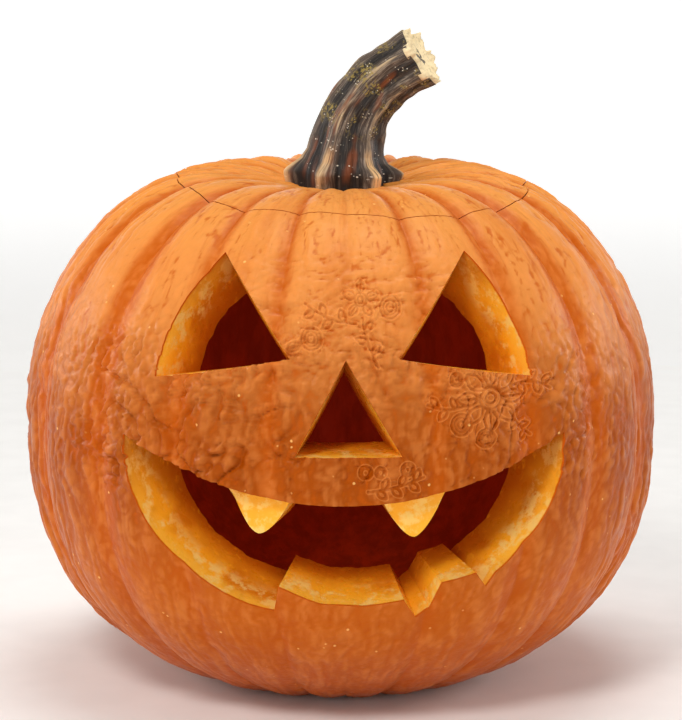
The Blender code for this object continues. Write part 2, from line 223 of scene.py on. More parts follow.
class RindSettings(bpy.types.PropertyGroup):
    """Sizes and colours of the skin."""
    rib_depth: FloatProperty(
        name="Rib depth", description="Depth of the valleys, as a share of their own",
        default=1.0, min=0.0, max=2.0)
    wrinkle_depth: FloatProperty(
        name="Wrinkle depth", description="Height of the skin's leathery wrinkles",
        default=0.00042, min=0.0, max=0.002, unit="LENGTH", precision=5)
    drawing_depth: FloatProperty(
        name="Drawing depth", description="Depth of the lines scratched in the skin",
        default=0.00042, min=0.0, max=0.002, unit="LENGTH", precision=5)
    # The crown, brow, middle, chin and base colours grade the skin by height as painted light and shade:
    # lighter high up where light from above falls, darkest halfway, lighter at the chin as painted floor
    # bounce, darker at the base.
    crown: colour_property("Crown", "Colour of the skin at the top", display(222, 144, 66))
    brow: colour_property("Brow", "Colour of the skin over the face", display(216, 134, 64))
    middle: colour_property("Middle", "Colour of the skin halfway", display(158, 68, 2))
    chin: colour_property("Chin", "Colour of the skin under the face", display(190, 92, 16))
    base: colour_property("Base", "Colour of the skin at the bottom", display(182, 78, 6))
    # The deep colour is partly the skin's own darker tone, laid at random, and partly painted shade in the
    # rib valleys and the creases between bumps.
    deep: colour_property("Deep", "Colour in valleys and creases", display(186, 82, 4))
    # The pale colour is a painted highlight on raised skin and on the lips beside the scratched lines.
    pale: colour_property("Pale", "Colour on worn, raised skin", display(236, 146, 72))


class FleshSettings(bpy.types.PropertyGroup):
    """Sizes and colours of the cut and scooped flesh."""
    wall: FloatProperty(
        name="Wall", description="Thickness of the flesh", default=0.031,
        min=0.02, max=0.045, unit="LENGTH", precision=4)
    # outer and inner grade the cut flesh by depth: partly the flesh's own layers, partly painted shade deeper
    # in the cut.
    outer: colour_property("Outer", "Cut flesh near the rind", display(250, 168, 34))
    inner: colour_property("Inner", "Cut flesh near the hollow", display(200, 98, 8))
    cloud: colour_property("Cloud", "Pale patches in the flesh", display(246, 206, 118))
    # The edge colour is a painted highlight on the cut flesh just under the rind, fainter high in the
    # openings.
    edge: colour_property("Edge", "Bright flesh just under the rind", display(255, 196, 74))
    # Painted shade: the flesh high in each opening, which faces down, is darker.
    top_shade: colour_property("Gloom", "Flesh high in an opening", display(172, 74, 4))
    rim: colour_property("Rim", "The rind's cut edge", display(206, 92, 14))
    # The lining's dark red-brown is partly painted shade of the dim hollow, darker than scooped flesh is.
    lining: colour_property("Lining", "The scooped inside", display(150, 42, 6))
    # The glow colour is painted light: an emission that makes the hollow glow though no lamp is in it.
    painted_glow: colour_property("Glow", "Daylight that soaks through", display(72, 8, 1))


class StalkSettings(bpy.types.PropertyGroup):
    """Sizes and colours of the stalk."""
    thickness: FloatProperty(
        name="Thickness", description="Thickness of the stalk, as a share of its own",
        default=1.0, min=0.5, max=1.1)
    groove: colour_property("Groove", "Dark grooves", display(24, 16, 11))
    bark: colour_property("Bark", "The stalk between grooves and ridges", display(74, 60, 50))
    ridge: colour_property("Ridge", "Dry grey streaks", display(142, 126, 108))
    crest: colour_property("Crest", "Lines along the ridges' tops", display(206, 178, 138))
    olive: colour_property("Olive", "Greenish flecks", display(150, 128, 60))
    amber: colour_property("Amber", "Warm patches", display(142, 72, 26))
    speck: colour_property("Speck", "Small pale dots", display(226, 216, 196))
    cream: colour_property("Cream", "Bare wedges at the foot", display(236, 190, 132))
    pith: colour_property("Pith", "The broken end", display(238, 216, 172))


class StageSettings(bpy.types.PropertyGroup):
    """The floor and the lights."""
    floor: colour_property("Floor", "Colour of the floor", display(244, 243, 241))
    key: FloatProperty(name="Key light", description="Strength of the main light",
                       default=11.0, min=0.0, unit="POWER")
    top: FloatProperty(name="Top light", description="Strength of the light above",
                       default=11.0, min=0.0, unit="POWER")
    rim: FloatProperty(name="Side lights", description="Strength of each light at the side",
                       default=5.0, min=0.0, unit="POWER")
    sky: FloatProperty(name="Sky", description="Strength of the light all round",
                       default=0.25, min=0.0)


# ---------------------------------------------------------------- noise

def smooth_step(value, low, high):
    share = np.clip((value - low) / (high - low), 0.0, 1.0)
    return share * share * (3.0 - 2.0 * share)


def lattice_noise(points, seed):
    """Smooth noise, about -1 to 1, at each of n points given in cells."""
    draw = np.random.default_rng(seed)
    order = np.tile(draw.permutation(256), 3)
    slopes = draw.normal(size=(256, 3))
    slopes /= np.linalg.norm(slopes, axis=1, keepdims=True)
    cell = np.floor(points).astype(int)
    part = points - cell
    fade = part ** 3 * (part * (part * 6.0 - 15.0) + 10.0)
    cell &= 255
    total = np.zeros(len(points))
    for corner in itertools.product((0, 1), repeat=3):
        place = (cell + corner) & 255
        index = order[order[order[place[:, 0]] + place[:, 1]] + place[:, 2]]
        weight = np.prod(np.where(corner, fade, 1.0 - fade), axis=1)
        total += weight * ((part - corner) * slopes[index]).sum(axis=1)
    return total * 1.6


def layered_noise(points, seed, layers=3):
    """Noise with finer and fainter layers on top."""
    total = np.zeros(len(points))
    for i in range(layers):
        total += lattice_noise(points * 2.0 ** i + 17.3 * i, seed + i) * 0.5 ** i
    return total


def pebbles(points, seed):
    """Rounded bumps parted by narrow creases, 0 in a crease and about 1 on a bump."""
    warp = np.stack([lattice_noise(points * 0.5 + 9.1 * k, seed + k) for k in range(3)], 1)
    return np.minimum(np.abs(lattice_noise(points + 0.45 * warp, seed + 5)) * 2.2, 1.0)


# ---------------------------------------------------------------- meshes

def link_mesh(name, mesh):
    new_object = bpy.data.objects.new(name, mesh)
    bpy.context.scene.collection.objects.link(new_object)
    return new_object


def stacked_solid(name, loops, low_cap=None, high_cap=None):
    """A closed mesh from rows of points; a cap is a pole point, or None for a flat face."""
    rows, count, _ = loops.shape
    points = loops.reshape(-1, 3)
    here = np.arange(count)
    after = (here + 1) % count
    starts = np.arange(rows - 1)[:, None] * count
    quads = np.stack([starts + here, starts + after, starts + count + after,
                      starts + count + here], axis=2).reshape(-1, 4)
    faces = quads.tolist()
    for row, cap, turned in ((0, low_cap, True), (rows - 1, high_cap, False)):
        ring = (row * count + here).tolist()
        if cap is None:
            faces.append(ring[::-1] if turned else ring)
            continue
        tip = len(points)
        points = np.vstack([points, [cap]])
        for a, b in zip(ring, ring[1:] + ring[:1]):
            faces.append((b, a, tip) if turned else (a, b, tip))
    mesh = bpy.data.meshes.new(name)
    mesh.from_pydata(points.tolist(), [], faces)
    solid = link_mesh(name, mesh)
    mesh_data = bmesh.new()
    mesh_data.from_mesh(mesh)
    bmesh.ops.remove_doubles(mesh_data, verts=mesh_data.verts, dist=1e-6)
    bmesh.ops.dissolve_degenerate(mesh_data, edges=mesh_data.edges, dist=1e-7)
    if mesh_data.calc_volume(signed=True) < 0.0:
        bmesh.ops.reverse_faces(mesh_data, faces=mesh_data.faces)
    mesh_data.to_mesh(mesh)
    mesh_data.free()
    return solid


def mark(solid, material):
    """Gives every face of a solid its material, which the cuts that it makes keep."""
    solid.data.materials.append(material)
    return solid


def cut(target, tool, operation="DIFFERENCE"):
    """Cuts target with tool, and keeps the tool for another cut."""
    modifier = target.modifiers.new("cut", "BOOLEAN")
    modifier.operation = operation
    modifier.object = tool
    modifier.solver = "MANIFOLD"
    modifier.material_mode = "TRANSFER"
    shaped = bpy.data.meshes.new_from_object(
        target.evaluated_get(bpy.context.evaluated_depsgraph_get()))
    before = len(target.data.polygons)
    target.modifiers.remove(modifier)
    old = target.data
    target.data = shaped
    bpy.data.meshes.remove(old)
    if len(shaped.polygons) in (0, before):
        raise RuntimeError(f"{tool.name} did not cut {target.name}")


def remove_object(thing):
    mesh = thing.data
    bpy.data.objects.remove(thing, do_unlink=True)
    bpy.data.meshes.remove(mesh)


# ---------------------------------------------------------------- the fruit's form

def oval_radius(angle, radius, rise, power):
    """Distance from the centre to a superellipse, in a direction angle above level."""
    level = (np.abs(np.cos(angle)) / radius) ** power
    upright = (np.abs(np.sin(angle)) / rise) ** power
    return (level + upright) ** (-1.0 / power)


def valleys():
    """Azimuth in radians, rising, and strength of each valley round the fruit."""
    first, last = FACE_VALLEYS[0][0], FACE_VALLEYS[-1][0]
    back_span = 360.0 - (last - first)
    back = [(last + back_span * (i + 1) / BACK_RIBS, BACK_STRENGTHS[i % len(BACK_STRENGTHS)])
            for i in range(BACK_RIBS - 1)]
    azimuths, strengths = zip(*FACE_VALLEYS, *back)
    return np.radians(azimuths), np.array(strengths)


def valley_depth(azimuth):
    """0 on a rib's back, rising to the valley's strength in the valley."""
    azimuths, strengths = valleys()
    starts = azimuths - azimuths[0]
    ends = np.append(starts[1:], 2.0 * np.pi)
    turn = np.mod(azimuth - azimuths[0], 2.0 * np.pi)
    index = np.searchsorted(starts, turn, side="right") - 1
    share = (turn - starts[index]) / (ends[index] - starts[index])
    nearest = np.where(share < 0.5, index, (index + 1) % len(starts))
    return strengths[nearest] * np.abs(2.0 * share - 1.0) ** VALLEY_POWER


def groove_depth(azimuth, angle, radius, rib_depth=1.0):
    """How deep the skin lies below the smooth body, in metres."""
    at_pole = np.where(angle >= 0.0, VALLEY_AT_CROWN, VALLEY_AT_BASE)
    depth = VALLEY_AT_EQUATOR + (at_pole - VALLEY_AT_EQUATOR) * np.sin(angle) ** 2
    return depth * np.minimum(1.0, radius / POLE_FADE_RADIUS) * valley_depth(azimuth) * rib_depth


def dimple_depth(radius, azimuth, upper):
    depth = np.where(upper, CROWN_DIMPLE[0], BASE_DIMPLE[0])
    frontness = (0.5 + 0.5 * np.cos(azimuth)) ** 2
    crown_width = CROWN_DIMPLE[1] + (CROWN_DIMPLE_FRONT - CROWN_DIMPLE[1]) * frontness
    return depth * np.exp(-(radius / np.where(upper, crown_width, BASE_DIMPLE[1])) ** 2)


def body_points(azimuth, angle, rib_depth):
    upper = angle >= 0.0
    rise = np.where(upper, CROWN_RISE, BASE_DROP)
    power = np.where(upper, CROWN_POWER, BASE_POWER)
    reach = oval_radius(angle, BODY_RADIUS, rise, power)
    radius = reach * np.cos(angle)
    height = reach * np.sin(angle)
    height = height - np.where(upper, 1.0, -1.0) * dimple_depth(radius, azimuth, upper)
    inset = groove_depth(azimuth, angle, radius, rib_depth)
    radius = np.maximum(radius - inset * np.cos(angle), 0.0)
    height = height - inset * np.sin(angle)
    return np.stack([radius * np.sin(azimuth), -radius * np.cos(azimuth),
                     EQUATOR_Z + height], axis=-1)


def even_angles(rows, reach):
    """Angles above level that part a profile into even lengths."""
    fine = np.linspace(-np.pi / 2, np.pi / 2, PROFILE_SAMPLES)
    radius = reach(fine)
    profile = np.stack([radius * np.cos(fine), radius * np.sin(fine)], axis=1)
    lengths = np.concatenate([[0.0], np.cumsum(np.linalg.norm(np.diff(profile, axis=0), axis=1))])
    places = lengths[-1] * np.arange(1, rows + 1) / (rows + 1)
    return np.interp(places, lengths, fine)


def body_reach(angle):
    upper = angle >= 0.0
    return oval_radius(angle, BODY_RADIUS, np.where(upper, CROWN_RISE, BASE_DROP),
                       np.where(upper, CROWN_POWER, BASE_POWER))


def fruit_solid(rib_depth):
    """The uncut fruit, pressed flat where it stands."""
    face = np.linspace(-FACE_TURN, FACE_TURN, FACE_COLUMNS, endpoint=False)
    back = np.linspace(FACE_TURN, 2.0 * np.pi - FACE_TURN, BACK_COLUMNS, endpoint=False)
    azimuth = np.concatenate([face, back])
    angle = even_angles(BODY_ROWS, body_reach)
    loops = body_points(azimuth[None, :], angle[:, None], rib_depth)
    poles = [body_points(np.zeros(1), np.array([side * np.pi / 2]), rib_depth)[0]
             for side in (-1.0, 1.0)]
    loops[..., 2] = np.maximum(loops[..., 2], 0.0)
    return stacked_solid("fruit", loops, poles[0], poles[1])


def hollow_reach(angle, radius):
    upper = angle >= 0.0
    return oval_radius(angle, radius, np.where(upper, HOLLOW_RISE, HOLLOW_DROP),
                       np.where(upper, HOLLOW_CROWN_POWER, HOLLOW_BASE_POWER))


def hollow_solid(wall):
    """The scooped space, with the strands and scrapes that the spoon left."""
    radius = BODY_RADIUS - wall
    angle = even_angles(HOLLOW_ROWS, lambda a: hollow_reach(a, radius))[:, None]
    azimuth = np.linspace(0.0, 2.0 * np.pi, HOLLOW_COLUMNS, endpoint=False)[None, :]
    reach = hollow_reach(angle, radius) * np.ones_like(azimuth)
    ring = np.stack([np.sin(azimuth) * np.cos(angle), -np.cos(azimuth) * np.cos(angle),
                     np.sin(angle) * np.ones_like(azimuth)], axis=-1)
    flat = ring.reshape(-1, 3)
    strands = layered_noise(flat * (34.0, 34.0, 7.0), 71, 2).reshape(reach.shape)
    scrapes = layered_noise(flat * 5.0, 81, 3).reshape(reach.shape)
    crumbs = layered_noise(flat * 60.0, 91, 2).reshape(reach.shape)
    reach = (reach + HOLLOW_STRANDS * strands + HOLLOW_SCRAPES * scrapes
             + HOLLOW_CRUMBS * crumbs)
    loops = ring * reach[..., None] + (0.0, 0.0, EQUATOR_Z)
    return stacked_solid("hollow", loops, (0.0, 0.0, EQUATOR_Z - HOLLOW_DROP),
                         (0.0, 0.0, EQUATOR_Z + HOLLOW_RISE))


# ---------------------------------------------------------------- the carved face

def skin_points(outline):
    """The points on the front of the smooth fruit at each x and z."""
    x, z = np.array(outline).T
    height = z - EQUATOR_Z
    upper = height >= 0.0
    rise = np.where(upper, CROWN_RISE, BASE_DROP)
    power = np.where(upper, CROWN_POWER, BASE_POWER)
    radius = BODY_RADIUS * (1.0 - (np.abs(height) / rise) ** power) ** (1.0 / power)
    return np.stack([x, -np.sqrt(radius ** 2 - x ** 2), z], axis=1)


def straight(start, end):
    """Points from start up to, but not at, end."""
    length = math.dist(start, end)
    count = max(1, round(length / CUT_STEP))
    return [tuple(s + (e - s) * i / count for s, e in zip(start, end)) for i in range(count)]


def bowed(start, end, bow):
    """As straight, but bulging by bow to the left of the way from start to end."""
    length = math.dist(start, end)
    side = (-(end[1] - start[1]) / length, (end[0] - start[0]) / length)
    points = straight(start, end)
    shares = [i / len(points) for i in range(len(points))]
    return [(x + side[0] * bow * 4 * t * (1 - t), z + side[1] * bow * 4 * t * (1 - t))
            for (x, z), t in zip(points, shares)]


def toward(points, aim, y):
    """Where the lines through each point and aim meet the upright plane at y."""
    share = (y - aim[1]) / (points[:, 1] - aim[1])
    return aim + (points - aim) * share[:, None]


def knife_solid(name, outline, aim, inner_y, front_outline=None, recess=0.0, falls=None):
    """A cutter whose sides aim at one point.

    front_outline, point for point beside outline, is the wider shape that is cut from
    the skin down to the recess; behind it the cut follows outline.  falls is how much
    deeper than the recess each point of outline lies.
    """
    aim = np.array(aim)
    skin = skin_points(outline)
    back = toward(skin, aim, inner_y)
    front = toward(skin_points(front_outline or outline), aim, CUT_OUTER_Y)
    shares = np.linspace(0.0, 1.0, CUT_ROWS)[:, None, None]
    if not recess:
        return stacked_solid(name, back + (front - back) * shares)
    wide = skin_points(front_outline)
    inward = (aim - skin) / np.linalg.norm(aim - skin, axis=1, keepdims=True)
    wide_inward = (aim - wide) / np.linalg.norm(aim - wide, axis=1, keepdims=True)
    middle = skin + inward * (recess + falls[:, None])
    step = wide + wide_inward * recess
    ledge_shares = np.linspace(0.0, 1.0, FANG_ROWS)[1:-1, None, None]
    ledge = middle + (step - middle) * ledge_shares
    loops = np.concatenate([back + (middle - back) * shares, ledge,
                            step + (front - step) * shares])
    return stacked_solid(name, loops)


def eye_outline(side):
    """side is 1 for the eye at +X, -1 for the other."""
    edges = (*bowed(EYE_OUTER, EYE_APEX, -EYE_BOW), *straight(EYE_APEX, EYE_INNER),
             *straight(EYE_INNER, EYE_OUTER))
    return [(FACE_X + side * x, z) for x, z in edges]


def nose_outline():
    apex = (NOSE_MIDDLE_X - NOSE_LEAN, NOSE_BASE_Z + NOSE_HEIGHT)
    left = (NOSE_MIDDLE_X - NOSE_HALF_WIDTH, NOSE_BASE_Z)
    right = (NOSE_MIDDLE_X + NOSE_HALF_WIDTH, NOSE_BASE_Z)
    return [*straight(apex, left), *straight(left, right), *straight(right, apex)]


def upper_lip_z(x):
    """Height of the upper lip, an arc that hangs between the corners of the mouth."""
    radius = (MOUTH_HALF_WIDTH ** 2 + UPPER_LIP_DIP ** 2) / (2.0 * UPPER_LIP_DIP)
    offset = x - FACE_X
    return MOUTH_CORNER_Z - UPPER_LIP_DIP + radius - math.sqrt(radius ** 2 - offset ** 2)


def lower_lip_z(x):
    share = min(1.0, abs(x - FACE_X) / MOUTH_HALF_WIDTH)
    return LOWER_LIP_CENTRE_Z - LOWER_LIP_DROP * math.sqrt(1.0 - share ** 2)


def lower_lip(start_turn, end_turn):
    """Points on the lower lip's ellipse, by turn from its left end, in radians."""
    steps = max(1, round(abs(end_turn - start_turn) * MOUTH_HALF_WIDTH / CUT_STEP))
    turns = [start_turn + (end_turn - start_turn) * i / steps for i in range(steps + 1)]
    return [(FACE_X - MOUTH_HALF_WIDTH * math.cos(t),
             LOWER_LIP_CENTRE_Z - LOWER_LIP_DROP * math.sin(t)) for t in turns]


def lip_turn(x):
    return math.acos((FACE_X - x) / MOUTH_HALF_WIDTH)


def fang_place(x):
    """Place across the fang at x, -1 to 1 from its left root to its right, or None."""
    for left, right in FANGS:
        if left < x < right:
            return 2.0 * (x - left) / (right - left) - 1.0
    return None


def fang_drop(x):
    """How far the fang at x hangs below the lip, 0 beside the fangs."""
    place = fang_place(x)
    if place is None:
        return 0.0
    return FANG_LENGTH * (1.0 - abs(place) ** FANG_POWER)


def fang_fall(x):
    """How much deeper than the recess the fang's face lies, where its sides are pared."""
    place = fang_place(x)
    if place is None:
        return 0.0
    fall = sum(depth * min(1.0, max(0.0, (place - start) / (end - start)))
               for depth, start, end in FANG_BEVELS)
    return fall * min(1.0, fang_drop(x) / (FANG_BEVEL_FADE * FANG_LENGTH))


def tooth_edge(ends, rises):
    """The top edge of a tooth or a notch, as points over the lower lip."""
    left, right = ends
    places = [left + (right - left) * i / (len(rises) - 1) for i in range(len(rises))]
    return [(x, lower_lip_z(x) + rise) for x, rise in zip(places, rises)]


def mouth_outlines():
    """The outline with the fangs left standing, the one that ignores them, and falls."""
    steps = round(2.0 * MOUTH_HALF_WIDTH / CUT_STEP)
    corner_x = FACE_X + MOUTH_HALF_WIDTH
    places = {corner_x - 2.0 * MOUTH_HALF_WIDTH * i / steps for i in range(steps)}
    roots = {x for fang in FANGS for x in fang}
    places = {x for x in places if all(abs(x - root) > CUT_STEP / 2 for root in roots)}
    xs = sorted(places | roots, reverse=True)
    lip = [(x, upper_lip_z(x)) for x in xs]
    with_fangs = [(x, z - fang_drop(x)) for x, z in lip]
    left_root = (TEETH_LEFT_ROOT, lower_lip_z(TEETH_LEFT_ROOT))
    right_root = (TEETH_RIGHT_ROOT, lower_lip_z(TEETH_RIGHT_ROOT) - RIGHT_ROOT_DROP)
    edge = [left_root, *tooth_edge(WIDE_TOOTH, WIDE_TOOTH_RISES), *tooth_edge(NOTCH, NOTCH_RISES),
            *tooth_edge(NARROW_TOOTH, NARROW_TOOTH_RISES), right_root]
    teeth = [point for a, b in zip(edge, edge[1:]) for point in straight(a, b)]
    left_free, right_free = LIP_TURN_BESIDE_TEETH
    below = [(FACE_X - MOUTH_HALF_WIDTH, MOUTH_CORNER_Z),
             *lower_lip(0.0, lip_turn(TEETH_LEFT_ROOT) - left_free),
             *teeth, right_root,
             *lower_lip(lip_turn(TEETH_RIGHT_ROOT) + right_free, math.pi)]
    falls = np.array([fang_fall(x) for x in xs] + [0.0] * len(below))
    return with_fangs + below, lip + below, falls


def lid_radius(azimuth):
    """Radius of the cut round the lid, a squarish oval."""
    across = (np.abs(np.sin(azimuth)) / LID_HALF_WIDTH) ** LID_SQUARENESS
    deep = (np.abs(np.cos(azimuth)) / LID_HALF_DEPTH) ** LID_SQUARENESS
    return (across + deep) ** (-1.0 / LID_SQUARENESS)


def lid_knife_solid(name, widen):
    """The cone that the lid is cut out with, widen wider all round."""
    aim = np.array((LID_CENTRE_X, 0.0, LID_AIM_Z))
    azimuth = np.linspace(0.0, 2.0 * np.pi, LID_STEPS, endpoint=False)
    heading = np.stack([np.sin(azimuth), -np.cos(azimuth), np.zeros(LID_STEPS)], axis=1)
    nicks = np.random.default_rng(61).uniform(-1.0, 1.0, LID_STROKES)
    places = azimuth / (2.0 * np.pi) * LID_STROKES
    wander = LID_WANDER * np.interp(places, np.arange(LID_STROKES + 1), np.append(nicks, nicks[0]))
    wander = wander + LID_RAGGEDNESS * LID_WANDER * layered_noise(heading * LID_RAG_SCALE, 61, 2)
    offset = heading * (lid_radius(azimuth) + wander)[:, None]
    reach = np.hypot(offset[:, 0] + LID_CENTRE_X, offset[:, 1]) / BODY_RADIUS
    rise = CROWN_RISE * (1.0 - reach ** CROWN_POWER) ** (1.0 / CROWN_POWER)
    run = offset + np.stack([0 * rise, 0 * rise, EQUATOR_Z + rise - LID_AIM_Z], axis=1)
    heights = np.linspace(LID_CUT_LOW_Z, LID_CUT_HIGH_Z, CUT_ROWS * 2)[:, None, None]
    loops = aim + run * ((heights - LID_AIM_Z) / run[:, 2:]) + heading * widen
    return stacked_solid(name, loops, (LID_CENTRE_X, 0.0, LID_CUT_LOW_Z),
                         (LID_CENTRE_X, 0.0, LID_CUT_HIGH_Z))


# ---------------------------------------------------------------- drawings in the skin

def ring_line(x, z, width, height=None, tilt=0.0, turn=(0.0, 360.0)):
    """An ellipse, or the part of one from one turn to another, in degrees."""
    height = height or width
    t = np.radians(np.linspace(*turn, 36))
    a, b = width / 2 * np.cos(t), height / 2 * np.sin(t)
    lean = math.radians(tilt)
    return np.stack([x + a * math.cos(lean) - b * math.sin(lean),
                     z + a * math.sin(lean) + b * math.cos(lean)], axis=1)


def leaf_lines(x, z, length, width, heading, vein=True):
    """A pointed leaf from its foot at (x, z), heading in degrees from +X."""
    share = np.linspace(0.0, 1.0, 16)
    half = width / 2 * np.sin(np.pi * share) ** 0.8
    lean = math.radians(heading)
    along = np.array((math.cos(lean), math.sin(lean)))
    across = np.array((-math.sin(lean), math.cos(lean)))
    foot = np.array((x, z))
    sides = [foot + along * length * share[:, None] + across * side * half[:, None]
             for side in (-1, 1)]
    if vein:
        sides.append(foot + along * length * share[2:-3, None])
    return sides


def flower_lines(x, z, size, petals, first=90.0):
    """An open flower: a ringed eye with looped petals round it."""
    lines = [ring_line(x, z, 0.34 * size), ring_line(x, z, 0.16 * size)]
    for i in range(petals):
        heading = first + 360.0 * i / petals
        lean = math.radians(heading)
        lines += leaf_lines(x + 0.17 * size * math.cos(lean), z + 0.17 * size * math.sin(lean),
                            0.36 * size, 0.20 * size, heading, i % 2 == 0)
    return lines


def ringed_drop(x, z, size, count=3):
    """A drop drawn as rings, one in the next."""
    return [ring_line(x, z, size * (1.0 - 0.32 * i), size * (1.06 - 0.34 * i), 15.0 * i)
            for i in range(count)]


def sprig_lines(x, z, length, heading, bow, leaves, leaf):
    """A bowed twig from its foot, with leaves on alternate sides."""
    lean = math.radians(heading)
    along = np.array((math.cos(lean), math.sin(lean)))
    across = np.array((-math.sin(lean), math.cos(lean)))
    share = np.linspace(0.0, 1.0, 20)
    path = (np.array((x, z)) + along * length * share[:, None]
            + across * bow * np.sin(np.pi * share)[:, None])
    lines = [path]
    for i in range(leaves):
        foot = path[round(19 * (i + 1) / (leaves + 1))]
        side = 1 if i % 2 else -1
        lines += leaf_lines(*foot, leaf, 0.5 * leaf, heading + 55.0 * side, False)
    return lines


def brow_drawing():
    """A flower on a leafy stalk between the eyes, with a bud and a ringed rose."""
    return [
        *flower_lines(0.008, 0.186, 0.014, 5), *sprig_lines(0.015, 0.160, 0.020, 108, 0.001, 3, 0.005),
        *sprig_lines(0.006, 0.177, 0.022, 160, 0.002, 4, 0.005), *ringed_drop(0.020, 0.183, 0.008),
        *ringed_drop(-0.012, 0.171, 0.008), *leaf_lines(-0.016, 0.169, 0.006, 0.003, 200),
    ]


def cheek_drawing():
    """A large open flower on the right cheek, with ringed drops and twigs."""
    x, z = 0.061, 0.146
    return [
        *flower_lines(x, z, 0.026, 8), *ringed_drop(x - 0.012, z - 0.010, 0.008),
        *ringed_drop(x - 0.002, z - 0.016, 0.007), *ringed_drop(x - 0.014, z + 0.008, 0.005, 2),
        *sprig_lines(x + 0.008, z + 0.004, 0.018, -8, 0.002, 4, 0.005),
        *sprig_lines(x + 0.008, z - 0.006, 0.014, -50, -0.001, 3, 0.004),
        *sprig_lines(x - 0.009, z - 0.002, 0.017, 178, 0.002, 3, 0.005),
    ]


def lip_drawing():
    """Three ringed drops over the mouth and a leafy twig below them."""
    return [
        *ringed_drop(0.010, 0.118, 0.005, 2), *ringed_drop(0.016, 0.118, 0.004, 2),
        *ringed_drop(0.027, 0.119, 0.005, 2), *sprig_lines(0.011, 0.110, 0.023, 14, -0.001, 6, 0.005),
    ]


def drawing_lines():
    return [*brow_drawing(), *cheek_drawing(), *lip_drawing()]


DRAWING_BACK_Y = -0.08              # no line lies behind this or below the next
DRAWING_LOW_Z = 0.09


def drawing_distance(points, reach=0.004):
    """Distance on the front, seen from ahead, from each point to the nearest line."""
    distance = np.full(len(points), reach)
    front = np.flatnonzero((points[:, 1] < DRAWING_BACK_Y) & (points[:, 2] > DRAWING_LOW_Z))
    flat = points[front][:, [0, 2]]
    for line in drawing_lines():
        low, high = line.min(axis=0) - reach, line.max(axis=0) + reach
        near = np.flatnonzero(((flat > low) & (flat < high)).all(axis=1))
        place = flat[near]
        for start, end in zip(line, line[1:]):
            run = end - start
            share = np.clip((place - start) @ run / max(run @ run, 1e-12), 0.0, 1.0)
            gap = np.linalg.norm(place - start - share[:, None] * run, axis=1)
            distance[front[near]] = np.minimum(distance[front[near]], gap)
    return distance


def refine_drawings(solid):
    """Splits the skin's faces beside the drawn lines, to hold their narrow grooves."""
    mesh = solid.data
    points = np.empty(len(mesh.vertices) * 3)
    mesh.vertices.foreach_get("co", points)
    near = drawing_distance(points.reshape(-1, 3)) < DRAWING_MARGIN
    mesh_data = bmesh.new()
    mesh_data.from_mesh(mesh)
    mesh_data.verts.ensure_lookup_table()
    faces = {face for i in np.flatnonzero(near) for face in mesh_data.verts[i].link_faces}
    edges = list({edge for face in faces for edge in face.edges})
    bmesh.ops.subdivide_edges(mesh_data, edges=edges, cuts=DRAWING_CUTS, use_grid_fill=True)
    mesh_data.to_mesh(mesh)
    mesh_data.free()


# ---------------------------------------------------------------- the skin's relief

def directions(points):
    """Azimuth and angle above level, seen from the fruit's middle."""
    x, y, z = points.T
    return np.arctan2(x, -y), np.arctan2(z - EQUATOR_Z, np.hypot(x, y))


def skin_depth(points, rib_depth):
    """How far each point lies below the skin."""
    x, y, z = points.T
    azimuth, _ = directions(points)
    radius = np.hypot(x, y)
    height = z - EQUATOR_Z
    upper = height >= 0.0
    height = height + np.where(upper, 1.0, -1.0) * dimple_depth(radius, azimuth, upper)
    power = np.where(upper, CROWN_POWER, BASE_POWER)
    rise = np.where(upper, CROWN_RISE, BASE_DROP)
    scale = ((radius / BODY_RADIUS) ** power + (np.abs(height) / rise) ** power) ** (1 / power)
    reach = np.hypot(radius, height)
    angle = np.arctan2(height, radius)
    groove = groove_depth(azimuth, angle, radius, rib_depth)
    return reach / np.maximum(scale, 1e-6) - reach - groove


def outward(points):
    """The skin's direction outwards at each point, ribs left out."""
    x, y, z = points.T
    radius = np.maximum(np.hypot(x, y), 1e-6)
    height = z - EQUATOR_Z
    upper = height >= 0.0
    power = np.where(upper, CROWN_POWER, BASE_POWER)
    rise = np.where(upper, CROWN_RISE, BASE_DROP)
    level = (radius / BODY_RADIUS) ** (power - 1) / BODY_RADIUS
    upright = np.sign(height) * (np.abs(height) / rise) ** (power - 1) / rise
    normal = np.stack([level * x / radius, level * y / radius, upright], axis=1)
    return normal / np.linalg.norm(normal, axis=1, keepdims=True)


DRIFT_SPREAD = 0.024                # how far apart the skin's pattern bends
DRIFT_ROUND = 0.0045                # how far it bends sideways
DRIFT_ALONG = 0.0030                # and up or down


